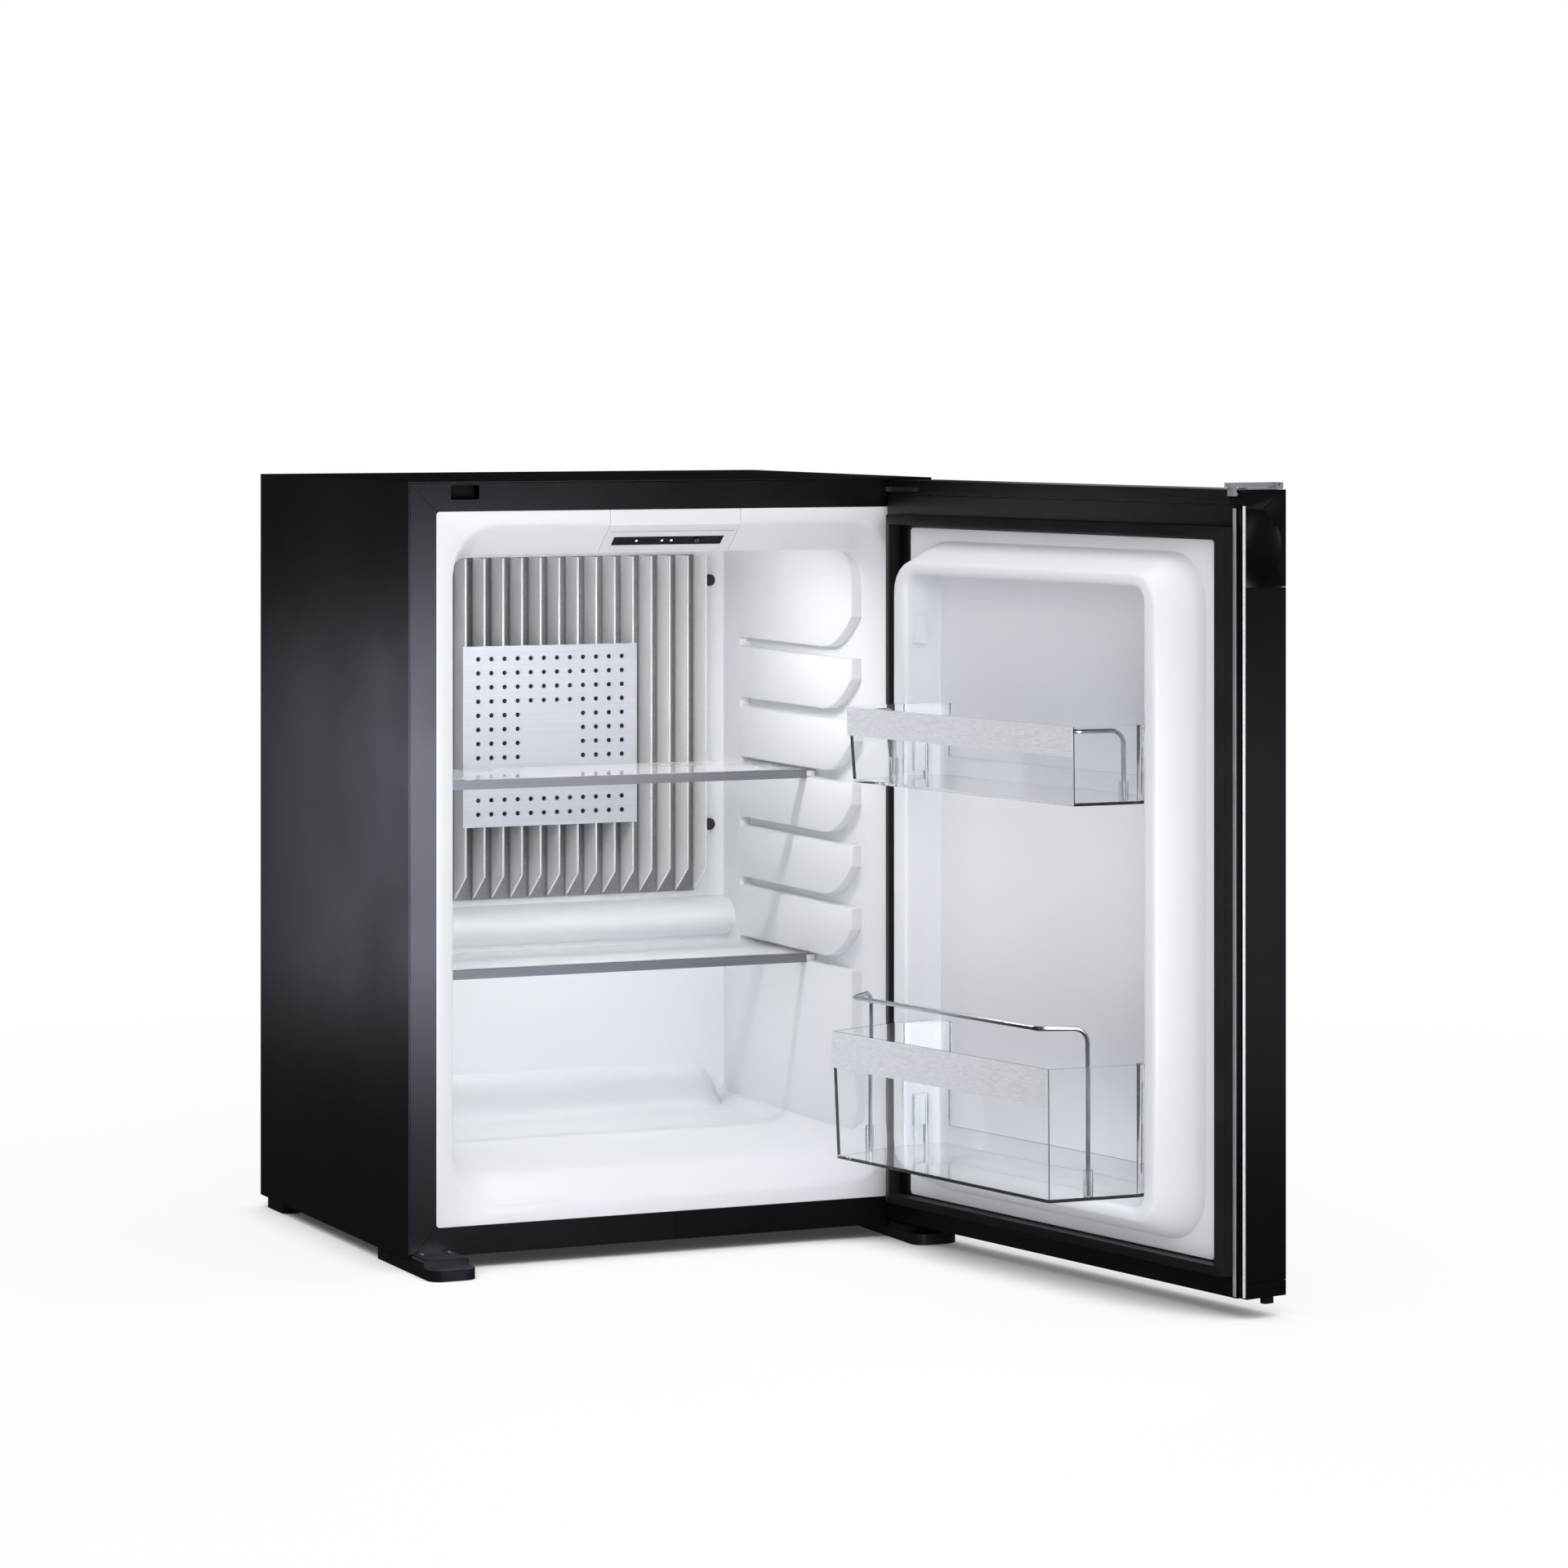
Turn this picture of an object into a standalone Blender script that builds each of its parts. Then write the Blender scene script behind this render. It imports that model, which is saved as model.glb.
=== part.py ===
"""A small absorption minibar fridge with its door standing open, built as separate pieces."""

import math

import bmesh
import bpy
import numpy as np
from mathutils import Matrix, Vector

# All sizes are in millimetres, in the cabinet's own frame: x from its left side, y from its front
# face towards the back, z from the underside of its body. Door pieces are drawn with the door shut.
MM = 0.001
FIT = 0.3
JOIN = 2.0

# Cabinet
CASE_WIDTH = 402.0
CASE_HEIGHT = 538.9
CASE_DEPTH = 320.5
SHEET = 1.0
FOOT_DROP = 8.0
FRAME_DEPTH = 12.0
FRAME_BOTTOM = 21.0
FRAME_SIDE = 20.3
FRAME_TOP_INSIDE = CASE_HEIGHT - 20.6
EDGE_LINE = 1.3
MITRE_GAP = 0.3

# Inner liner
LINER_WALL = 2.0
RING_LIP = 12.4
RING_TOP_LIP = 11.0
RING_RADIUS = 34.0
RING_SOFT = 2.5
HOLLOW_SIDE = 38.5
HOLLOW_FLOOR = 56.0
HOLLOW_CEILING = CASE_HEIGHT - 51.9
HOLLOW_BACK = CASE_DEPTH - 52.5
CEILING_SLOPE_DEPTH = 24.0
SILL_SLOPE_DEPTH = 33.0
CEILING_RADIUS = 18.0
FLOOR_RADIUS = 28.0
BACK_RADIUS = 11.0
OUTER_BACK_RADIUS = 2.5
RAMP_RUN = 40.0
RAMP_RISE = 32.0
RAMP_POWER = 1.5
RAMP_INSET = 14.0
RAMP_END = 26.0
RAMP_TIP_ANGLE = 12
BULGE_TOP = 214.0
BULGE_DEPTH = 23.0
BULGE_HEIGHT = 30.0

# Shelf runners
PAD_FACE = 47.0
PAD_FRONT = 37.0
PAD_CORNER = 22.0
PAD_TOP_CORNER = 30.0
PAD_BITE = 1.0
PAD_EDGE = 2.2
RUNNER_COUNT = 6
RUNNER_PITCH = 45.4
RUNNER_FIRST = HOLLOW_CEILING - 80.6
RUNNER_HEIGHT = 6.5
RUNNER_BACK = HOLLOW_BACK - 30.0
RUNNER_STRAIGHT_END = 87.0
FLARE_HEIGHT = 24.3
UPPER_SHELF_RUNNER = 3
LOWER_SHELF_RUNNER = 6

# Shelves
GLASS = 4.0
SHELF_FRONT = 114.0
SHELF_CLEARANCE = 1.0
SHELF_BACK_GAP = 2.6
SHELF_BACK_CORNER = 8.0
TRIM_DEPTH = 7.0
TRIM_SIDE = 47.0
TRIM_LIP = 0.9

# Evaporator
FIN_COUNT = 18
FIN_MARGIN = 35.0
FIN_PITCH = (CASE_WIDTH - 2 * HOLLOW_SIDE - 2 * FIN_MARGIN) / (FIN_COUNT - 1)
FIN_THICKNESS = 1.5
FIN_DEPTH = 25.0
FIN_BASE = 2.0
FIN_BOTTOM = 219.0
FIN_CHAMFER = 19.0
COVER_WIDTH = 140.0
COVER_BOTTOM = HOLLOW_CEILING - 211.5
COVER_HEIGHT = 135.0
COVER_THICKNESS = 0.8
COVER_STANDOFF = 0.3
HOLE_ROWS = 12
HOLE_MARGIN = 9.6
HOLE_PITCH = (COVER_HEIGHT - 2 * HOLE_MARGIN) / (HOLE_ROWS - 1)
HOLE_RADIUS = 1.85
HOLE_SIDES = 8
BLANK_FIRST = 4
BLANK_LAST = 7
PLUG_RADIUS = 4.5
PLUG_X = CASE_WIDTH - 59.5
PLUG_TOP = HOLLOW_CEILING - 31.2
PLUG_LOW = HOLLOW_CEILING - 218.0
PLUG_PROUD = 2.0

# Light and control module
MODULE_WIDTH = 100.0
MODULE_DEPTH = 31.0
MODULE_SLOT_FROM = 7.0
MODULE_SLOT = 0.9
MODULE_SLOT_DEPTH = 1.6
PANEL_LEFT = CASE_WIDTH / 2 - 42.5
PANEL_RIGHT = CASE_WIDTH / 2 + 41.5
PANEL_FROM = 13.6
PANEL_LENGTH = 9.0
PANEL_DEPTH = 2.0
LAMP_FROM = 24.0
LAMP_LENGTH = 4.6
LAMP_DEPTH = 3.0
SENSOR_X = CASE_WIDTH / 2 - 24.4
LIGHT_1_X = CASE_WIDTH / 2 - 4.8
LIGHT_2_X = CASE_WIDTH / 2 + 2.4
LIGHT_RADIUS = 0.9
BUTTON_X = CASE_WIDTH / 2 + 22.0
BUTTON_RADIUS = 3.2
BUTTON_LENGTH = 3.4
BUTTON_PROUD = 0.5
BUTTON_TRAVEL = 0.8

# Recess in the frame's top and top hinge
RECESS_LEFT = 31.2
RECESS_RIGHT = 52.4
RECESS_BOTTOM = CASE_HEIGHT - 12.6
RECESS_TOP = CASE_HEIGHT - 2.3
RECESS_DEPTH = 7.0
RECESS_PLATE = 2.0
RECESS_CORNER = 1.0
PIN_TO_SIDE = 22.5
PIN_TO_FRONT = 23.5
HINGE_PLATE_BOTTOM = CASE_HEIGHT - 9.9
HINGE_PLATE = 3.4
HINGE_PLATE_ROOT_HALF = 14.0
HINGE_PLATE_END = 7.5
HINGE_PLATE_TAIL = 10.0
HINGE_ROOM = 4.6
HINGE_PIN_RADIUS = 3.2
HINGE_PIN_REACH = 13.0

# Bracket feet
BRACKET_WIDTH = 34.5
BRACKET_BACK = 62.6
BRACKET_FRONT = 46.0
BRACKET_CORNER = 9.0
BLOCK_TOP = 4.6
BLOCK_FRONT = 28.0
BLOCK_MARGIN = 1.0
BLOCK_CORNER = 2.5
REAR_FOOT_WIDTH = 14.5
REAR_FOOT_SIDE = 1.5
REAR_FOOT_FRONT = CASE_DEPTH - 48.5
REAR_FOOT_BACK = CASE_DEPTH - 8.5
REAR_FOOT_CORNER = 5.0

# Door
DOOR_OPEN_ANGLE = 100.46
DOOR_GAP = 11.0
DOOR_THICKNESS = 36.0
DOOR_BOTTOM = 5.7
DOOR_TOP = CASE_HEIGHT - 1.4
DOOR_PANEL = 1.5
FLANGE_PLATE = 2.0
FLANGE_LEFT = 3.0
FLANGE_GROOVE_LEFT = 4.6
FLANGE_GROOVE_WIDTH = 3.4
FLANGE_GROOVE_DEPTH = 1.0
FLANGE_RIGHT = CASE_WIDTH - 3.0
FLANGE_TOP = DOOR_TOP - 10.3
FLANGE_CORNER = 4.0
HINGE_INNER_RADIUS = 8.0
HINGE_OUTER_RADIUS = 21.0
BAR_WIDTH = 14.0
HINGE_BAR_WIDTH = 34.0
BOTTOM_CAP = 10.0
GRIP_HEIGHT = 64.2
GRIP_CORNER = 3.0
SCOOP_SIDES = 48
SCOOP_CURVE = 20.0
SCOOP_HALF_WIDTH = 33.0
SCOOP_HALF_HEIGHT = 35.0
SCOOP_DEPTH = 7.0
SCOOP_RISE = 26.0
SCOOP_FROM_INSIDE = 5.0
EDGE_TRIM_LEFT = 0.2
EDGE_TRIM_WIDTH = 1.8
EDGE_TRIM_CORNER = 0.85
EDGE_TRIM_BOTTOM = DOOR_BOTTOM + 1.3
EDGE_TRIM_TOP = FLANGE_TOP - 0.3
STUB_WIDTH = 5.5
STUB_FRONT = 37.0
STUB_BACK = 29.0
STUB_BOTTOM = 1.3
STUB_CORNER = 1.0

# Door liner and gasket
PLATE_LEFT = 30.5
PLATE_RIGHT = CASE_WIDTH - 31.5
PLATE_BOTTOM = 27.8
PLATE_TOP = DOOR_TOP - 33.6
FOAM_CORNER = 1.0
DYKE_MARGIN = 8.5
DYKE_RADIUS = 36.0
DYKE_HEIGHT = 32.4
DYKE_SLOPE = 13.0
DYKE_CREST_SIDE = 14.8
DYKE_CREST_END = 10.0
DYKE_SOFT = 4.0
DYKE_STEPS = 4
DYKE_SLOPE_ANGLE = 24
SLOPE_WALL_SHARE = 0.6
WELL_RADIUS = 11.0
WELL_FILLET = 3.6
FILLET_SHARE = 0.3
PLATE_CORNER = 3.0
LUG_HEIGHT = 20.0
LUG_DEPTH = 8.6
LUG_PROUD = 3.6
LUG_BACK = 16.0
FREE_LUG_TOP = PLATE_TOP - 60.1
GASKET_SIDE = 11.6
GASKET_OVER_PLATE = 9.2
GASKET_UNDER_PLATE = 8.2
GASKET_WIDTH = 7.0
GASKET_OUTER_GAP = 3.3
GASKET_MIDDLE_GAP = 1.6
GASKET_LIP_GAP = 0.9
GASKET_CORNER = 1.6

# Latch on the door's top
LATCH_LEFT = 2.0
LATCH_WIDTH = 6.0
LATCH_FRONT = 1.0
LATCH_BASE_BACK = 45.0
LATCH_TAIL = 44.0
LATCH_PLATE = 3.0
LATCH_BASE = 1.2
LATCH_BASE_FRONT = 14.0
LATCH_CHEEK_LENGTH = 6.0
LATCH_AXIS_BACK = 41.5
LATCH_CHEEK = 1.2
LATCH_PIN_RADIUS = 0.7
LATCH_TONGUE_FRONT = 3.5
LATCH_TONGUE = 3.0
LATCH_TONGUE_DROP = 4.0
LATCH_NOSE = 1.3
LATCH_NOSE_HEIGHT = 2.6

# Bins and their wire rails
BIN_WALL = 2.0
BIN_BACK_GAP = 1.4
BIN_SIDE_GAP = 0.7
BIN_BACK_CORNER = 6.0
BIN_EAR = 4.0
BIN_TAPER = 2.6
STRIP_THICKNESS = 0.8
BIN_BACK_HEIGHT = 15.0
BIN_BACK_KEEP = 12.0
UPPER_BIN_BOTTOM = PLATE_TOP - 175.4
UPPER_BIN_TOP = UPPER_BIN_BOTTOM + 52.5
UPPER_BIN_FRONT = 75.2
UPPER_BIN_SIDE = PLATE_LEFT + 42.3
UPPER_STRIP = 19.8
UPPER_LUG_TOP = UPPER_BIN_BOTTOM + 25.1
UPPER_LEG_X = PLATE_LEFT + 41.5
UPPER_LEG_Y = 33.0
UPPER_RAIL_X = PLATE_LEFT + 49.5
UPPER_RAIL_Y = 69.0
UPPER_RAIL_TOP = UPPER_BIN_BOTTOM + 49.1
UPPER_SOCKET = 15.5
LOWER_BIN_BOTTOM = PLATE_BOTTOM + 40.0
LOWER_BIN_TOP = LOWER_BIN_BOTTOM + 88.4
LOWER_BIN_FRONT = 92.3
LOWER_BIN_SIDE = PLATE_LEFT + 47.3
LOWER_STRIP = 25.0
LOWER_LUG_TOP = LOWER_BIN_BOTTOM + 35.8
LOWER_LEG_X = PLATE_LEFT + 47.5
LOWER_LEG_Y = 58.0
LOWER_RAIL_X = PLATE_LEFT + 65.0
LOWER_RAIL_Y = 86.0
LOWER_RAIL_TOP = LOWER_BIN_BOTTOM + 113.2
LOWER_SOCKET = 20.0
WIRE_RADIUS = 1.6
WIRE_BEND = 9.0
SOCKET_WALL = 1.4
POCKET_WALL = 1.6

# Cooling unit at the back
UNIT_DEPTH = 44.0
VESSEL_RADIUS = 17.0
VESSEL_LENGTH = CASE_WIDTH - 212.0
VESSEL_LEFT = 60.0
VESSEL_HEIGHT = 62.0
COIL_RADIUS = 6.5
COIL_BEND = 15.3
COIL_ROWS = 4
COIL_PITCH = 34.0
COIL_LEFT = 62.0
COIL_RIGHT = CASE_WIDTH - 140.0
CONDENSER_RADIUS = 5.0
CONDENSER_BEND = 17.0
CONDENSER_HEIGHT = CASE_HEIGHT - 60.9
CONDENSER_PLATE_COUNT = 14
CONDENSER_PLATE_PITCH = 12.0
CONDENSER_PLATE = 1.0
CONDENSER_PLATE_WIDTH = 36.0
BOILER_RADIUS = 19.0
BOILER_X = CASE_WIDTH - 72.0
BOILER_BOTTOM = 96.0
BOILER_TOP = CASE_HEIGHT - 146.9
BOX_WIDTH = 70.0
BOX_HEIGHT = 46.0
BOX_LEFT = CASE_WIDTH - 106.0
BOX_BOTTOM = 24.0
BOX_CORNER = 4.0

ARC_STEPS = 6
SMOOTH = 40
SMALL_SIDES = 12
ROUND_SIDES = 24
WIRE_SIDES = 3

# Values that follow from the sizes above
MIDDLE = CASE_WIDTH / 2
FRAME_TOP = CASE_HEIGHT - EDGE_LINE
PIN_X = CASE_WIDTH - PIN_TO_SIDE
DOOR_IN = -DOOR_GAP
DOOR_OUT = -(DOOR_GAP + DOOR_THICKNESS)
DOOR_BACKING = DOOR_IN - FLANGE_PLATE
DOOR_MIDDLE = (PLATE_LEFT + PLATE_RIGHT) / 2
UNIT_FACE = CASE_DEPTH + FIT
OPEN = math.radians(DOOR_OPEN_ANGLE)


def material(name, colour, roughness, metallic=0.0, transmission=0.0):
    made = bpy.data.materials.new(name)
    made.use_nodes = True
    shader = made.node_tree.nodes["Principled BSDF"]
    shader.inputs["Base Color"].default_value = (*colour, 1.0)
    shader.inputs["Roughness"].default_value = roughness
    shader.inputs["Metallic"].default_value = metallic
    shader.inputs["Transmission Weight"].default_value = transmission
    return made


def empty(name, at, parent=None, angle=0.0):
    made = bpy.data.objects.new(name, None)
    bpy.context.scene.collection.objects.link(made)
    made.location = Vector(at) * MM
    made.rotation_euler = (0.0, 0.0, angle)
    made.parent = parent
    return made


def place(name, mesh, look, group, smooth=0.0):
    """Links a mesh drawn in cabinet millimetres under the empty of its group."""
    anchor, origin = group
    mesh.transform(Matrix.Scale(MM, 4) @ Matrix.Translation(-Vector(origin)))
    made = bpy.data.objects.new(name, mesh)
    bpy.context.scene.collection.objects.link(made)
    made.parent = anchor
    if look:
        mesh.materials.append(look)
    if smooth:
        mesh.shade_smooth()
        mesh.set_sharp_from_angle(angle=math.radians(smooth))
    return made


def closed_mesh(name, bm):
    bmesh.ops.recalc_face_normals(bm, faces=bm.faces)
    mesh = bpy.data.meshes.new(name)
    bm.to_mesh(mesh)
    bm.free()
    return mesh


def loft_mesh(name, rings):
    """A closed skin through rings of equal point count, with a cap on the first and the last."""
    bm = bmesh.new()
    rows = [[bm.verts.new(point) for point in ring] for ring in rings]
    for one, two in zip(rows, rows[1:]):
        for k in range(len(one)):
            after = (k + 1) % len(one)
            bm.faces.new((one[k], one[after], two[after], two[k]))
    bm.faces.new(rows[0])
    bm.faces.new(rows[-1])
    return closed_mesh(name, bm)


def prism_mesh(name, outline, along, start, end):
    """An outline in the two other axes, drawn out along x, y or z from start to end."""
    order = {"x": (2, 0, 1), "y": (0, 2, 1), "z": (0, 1, 2)}[along]

    def ring(depth):
        return [[(*point, depth)[k] for k in order] for point in outline]

    return loft_mesh(name, [ring(start), ring(end)])


def joined_mesh(name, meshes):
    bm = bmesh.new()
    for mesh in meshes:
        bm.from_mesh(mesh)
        bpy.data.meshes.remove(mesh)
    made = bpy.data.meshes.new(name)
    bm.to_mesh(made)
    bm.free()
    return made


def arc(cx, cy, radius, start, end, steps=ARC_STEPS):
    angles = np.radians(np.linspace(start, end, steps + 1))
    return [(cx + radius * math.cos(a), cy + radius * math.sin(a)) for a in angles]


def box(x0, x1, y0, y1):
    return [(x0, y0), (x1, y0), (x1, y1), (x0, y1)]


def round_box(x0, x1, y0, y1, low, high=None, steps=ARC_STEPS):
    """A rectangle with one corner radius at its low side and, if given, another at its high side."""
    high = low if high is None else high
    return (
        arc(x0 + low, y0 + low, low, 180, 270, steps)
        + arc(x1 - low, y0 + low, low, 270, 360, steps)
        + arc(x1 - high, y1 - high, high, 0, 90, steps)
        + arc(x0 + high, y1 - high, high, 90, 180, steps)
    )


def disc(cx, cy, radius, sides=ROUND_SIDES):
    angles = np.linspace(0, 2 * math.pi, sides, endpoint=False)
    return [(cx + radius * math.cos(a), cy + radius * math.sin(a)) for a in angles]


def upright(outline, y):
    return [(x, y, z) for x, z in outline]


def cut(target, operation, name, mesh, group):
    """Adds a Boolean to the target whose tool is a hidden helper drawn in the same frame."""
    tool = place(name, mesh, None, group)
    tool.hide_render = True
    tool.display_type = "WIRE"
    step = target.modifiers.new(name, "BOOLEAN")
    step.operation = operation
    step.solver = "EXACT"
    step.object = tool
    return tool


def wire(name, points, bends, radius, look, group):
    """A bent round rod along straight runs, each inner corner rounded to its own bend radius."""
    anchor, origin = group
    corners = [Vector(point) - Vector(origin) for point in points]
    path = [corners[0]]
    for before, at, after, bend in zip(corners, corners[1:], corners[2:], bends):
        back = (before - at).normalized()
        ahead = (after - at).normalized()
        half = back.angle(ahead) / 2
        run = bend / math.tan(half)
        centre = at + (back + ahead).normalized() * (bend / math.sin(half))
        start = (at + back * run - centre).normalized()
        end = (at + ahead * run - centre).normalized()
        for share in np.linspace(0, 1, ARC_STEPS + 1):
            path.append(centre + start.slerp(end, share) * bend)
    path.append(corners[-1])
    curve = bpy.data.curves.new(name, "CURVE")
    curve.dimensions = "3D"
    curve.bevel_depth = radius * MM
    curve.bevel_resolution = WIRE_SIDES
    curve.use_fill_caps = True
    curve.twist_mode = "MINIMUM"
    spline = curve.splines.new("POLY")
    spline.points.add(len(path) - 1)
    for point, at in zip(spline.points, path):
        point.co = (*(at * MM), 1.0)
    spline.use_smooth = True
    made = bpy.data.objects.new(name, curve)
    bpy.context.scene.collection.objects.link(made)
    made.parent = anchor
    curve.materials.append(look)
    return made


def swing(x, y):
    """Where a point drawn with the door shut stands with the door open."""
    dx = x - PIN_X
    dy = y + PIN_TO_FRONT
    return (
        PIN_X + dx * math.cos(OPEN) - dy * math.sin(OPEN),
        -PIN_TO_FRONT + dx * math.sin(OPEN) + dy * math.cos(OPEN),
    )


for old in list(bpy.data.objects):
    bpy.data.objects.remove(old, do_unlink=True)

# Materials
CASE_BLACK = material("case_black", (0.028, 0.028, 0.03), 0.5)
FRAME_BLACK = material("frame_black", (0.02, 0.02, 0.022), 0.42)
RUBBER_BLACK = material("rubber_black", (0.014, 0.014, 0.015), 0.6)
GLOSS_BLACK = material("gloss_black", (0.01, 0.01, 0.011), 0.08)
LINER_WHITE = material("liner_white", (0.86, 0.87, 0.88), 0.22)
HOUSING_WHITE = material("housing_white", (0.82, 0.83, 0.84), 0.3)
FOAM = material("foam_cream", (0.78, 0.7, 0.5), 0.9)
ALUMINIUM = material("evaporator_aluminium", (0.78, 0.79, 0.8), 0.35, 0.9)
BRUSHED = material("brushed_silver", (0.72, 0.72, 0.73), 0.3, 1.0)
CHROME = material("chrome", (0.8, 0.8, 0.81), 0.1, 1.0)
GLASS_CLEAR = material("glass_clear", (0.9, 0.95, 0.94), 0.05, 0.0, 1.0)
PLASTIC_CLEAR = material("plastic_clear", (0.93, 0.94, 0.94), 0.08, 0.0, 1.0)
LAMP_WHITE = material("lamp_diffuser", (0.95, 0.95, 0.93), 0.4)
LATCH_GREY = material("latch_grey", (0.3, 0.3, 0.31), 0.4)
STEEL = material("steel_zinc", (0.55, 0.55, 0.55), 0.35, 1.0)
UNIT_BLACK = material("unit_black", (0.03, 0.03, 0.03), 0.45, 0.4)

# The part stands on z = 0 with its open-door outline centred on the origin
OUTER_CORNER = swing(0.0, DOOR_OUT)
INNER_CORNER = swing(0.0, DOOR_IN)
SHIFT_X = -OUTER_CORNER[0] / 2
SHIFT_Y = -(INNER_CORNER[1] + CASE_DEPTH + UNIT_DEPTH) / 2
ROOT = empty("fridge_root", (SHIFT_X, SHIFT_Y, FOOT_DROP))
CABINET = (ROOT, (0.0, 0.0, 0.0))
DOOR_ORIGIN = (PIN_X, -PIN_TO_FRONT, 0.0)
DOOR = (empty("door_axis", DOOR_ORIGIN, ROOT, OPEN), DOOR_ORIGIN)

# Case: a folded sheet over the top and both sides
case_outline = [
    (0.0, 0.0),
    (0.0, CASE_HEIGHT),
    (CASE_WIDTH, CASE_HEIGHT),
    (CASE_WIDTH, 0.0),
    (CASE_WIDTH - SHEET, 0.0),
    (CASE_WIDTH - SHEET, CASE_HEIGHT - SHEET),
    (SHEET, CASE_HEIGHT - SHEET),
    (SHEET, 0.0),
]
place("case_shell", prism_mesh("case_shell", case_outline, "y", 0.0, CASE_DEPTH), CASE_BLACK, CABINET)
inner_x0 = EDGE_LINE
inner_x1 = CASE_WIDTH - EDGE_LINE
bottom = prism_mesh("bottom_panel", box(inner_x0, inner_x1, 0.0, SHEET), "y", FRAME_DEPTH + FIT, CASE_DEPTH)
place("bottom_panel", bottom, CASE_BLACK, CABINET)
back_outline = box(inner_x0, inner_x1, SHEET + FIT, FRAME_TOP)
back = prism_mesh("back_panel", back_outline, "y", CASE_DEPTH - SHEET, CASE_DEPTH)
place("back_panel", back, CASE_BLACK, CABINET)

# Front frame: mitred profiles, the bottom one in two lengths that meet at the middle
in_x0 = FRAME_SIDE
in_x1 = CASE_WIDTH - FRAME_SIDE
half = MITRE_GAP / 2
left_outline = [
    (inner_x0, EDGE_LINE + half),
    (in_x0, FRAME_BOTTOM + half),
    (in_x0, FRAME_TOP_INSIDE - half),
    (inner_x0, FRAME_TOP - half),
]
right_outline = [(CASE_WIDTH - x, z) for x, z in left_outline]
top_outline = [
    (inner_x0 + half, FRAME_TOP),
    (in_x0 + half, FRAME_TOP_INSIDE),
    (in_x1 - half, FRAME_TOP_INSIDE),
    (inner_x1 - half, FRAME_TOP),
]
bottom_left_outline = [
    (inner_x0 + half, EDGE_LINE),
    (MIDDLE - half, EDGE_LINE),
    (MIDDLE - half, FRAME_BOTTOM),
    (in_x0 + half, FRAME_BOTTOM),
]
bottom_right_outline = [(CASE_WIDTH - x, z) for x, z in bottom_left_outline]
frame = {}
for name, outline in (
    ("frame_left", left_outline),
    ("frame_right", right_outline),
    ("frame_top", top_outline),
    ("frame_bottom_left", bottom_left_outline),
    ("frame_bottom_right", bottom_right_outline),
):
    frame[name] = place(name, prism_mesh(name, outline, "y", 0.0, FRAME_DEPTH), FRAME_BLACK, CABINET)
recess_hole = round_box(RECESS_LEFT, RECESS_RIGHT, RECESS_BOTTOM, RECESS_TOP, RECESS_CORNER, steps=2)
recess = prism_mesh("frame_recess", recess_hole, "y", -JOIN, RECESS_DEPTH + RECESS_PLATE + FIT)
cut(frame["frame_top"], "DIFFERENCE", "frame_recess", recess, CABINET)
recess_fill = box(RECESS_LEFT + FIT, RECESS_RIGHT - FIT, RECESS_BOTTOM + FIT, RECESS_TOP - FIT)
plate = prism_mesh("recess_plate", recess_fill, "y", RECESS_DEPTH, RECESS_DEPTH + RECESS_PLATE)
place("recess_plate", plate, UNIT_BLACK, CABINET)


# Inner liner: rings from the back wall forward, then the outer side of the same wall to the back
def hollow_ring(y, side, floor, ceiling, low, high, grow=0.0):
    outline = round_box(
        side - grow,
        CASE_WIDTH - side + grow,
        floor - grow,
        ceiling + grow,
        low + grow,
        high + grow,
    )
    return upright(outline, y)


def hollow_rings(grow, back, back_radius, stations):
    """Rings of the liner's hollow from the back to the front lip, grown outwards by a wall."""
    rings = []
    for angle in np.radians(np.linspace(90, 0, ARC_STEPS + 1)):
        inset = back_radius * (1 - math.cos(angle))
        y = back - back_radius * (1 - math.sin(angle))
        rings.append(
            hollow_ring(
                y,
                HOLLOW_SIDE + inset,
                HOLLOW_FLOOR + inset,
                HOLLOW_CEILING - inset,
                FLOOR_RADIUS - inset,
                CEILING_RADIUS - inset,
                grow,
            )
        )
    lip_side = FRAME_SIDE + FIT + RING_LIP
    lip_floor = FRAME_BOTTOM + RING_LIP
    lip_top = FRAME_TOP_INSIDE - FIT - RING_TOP_LIP
    for depth in (SILL_SLOPE_DEPTH, CEILING_SLOPE_DEPTH, *stations):
        out = max(0.0, 1 - depth / CEILING_SLOPE_DEPTH)
        low = max(0.0, 1 - depth / SILL_SLOPE_DEPTH)
        soft = max(0.0, RING_SOFT - depth) ** 2 / RING_SOFT
        rings.append(
            hollow_ring(
                depth,
                HOLLOW_SIDE + (lip_side - HOLLOW_SIDE) * out,
                HOLLOW_FLOOR + (lip_floor - HOLLOW_FLOOR) * low,
                HOLLOW_CEILING + (lip_top - HOLLOW_CEILING) * out,
                FLOOR_RADIUS + (RING_RADIUS - FLOOR_RADIUS) * low,
                CEILING_RADIUS + (RING_RADIUS - CEILING_RADIUS) * out,
                grow + soft,
            )
        )
    return rings


ring_outer = round_box(in_x0 + FIT, in_x1 - FIT, FRAME_BOTTOM + FIT, FRAME_TOP_INSIDE - FIT, RING_SOFT)
outer_back = HOLLOW_BACK + LINER_WALL
liner_rings = hollow_rings(0.0, HOLLOW_BACK, BACK_RADIUS, (RING_SOFT, RING_SOFT / 3, 0.0))
liner_rings += [upright(ring_outer, 0.0), upright(ring_outer, LINER_WALL)]
liner_rings += hollow_rings(LINER_WALL, outer_back, OUTER_BACK_RADIUS, (RING_SOFT,))[::-1]
liner = place("inner_liner", loft_mesh("inner_liner", liner_rings), LINER_WHITE, CABINET, SMOOTH)


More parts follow.
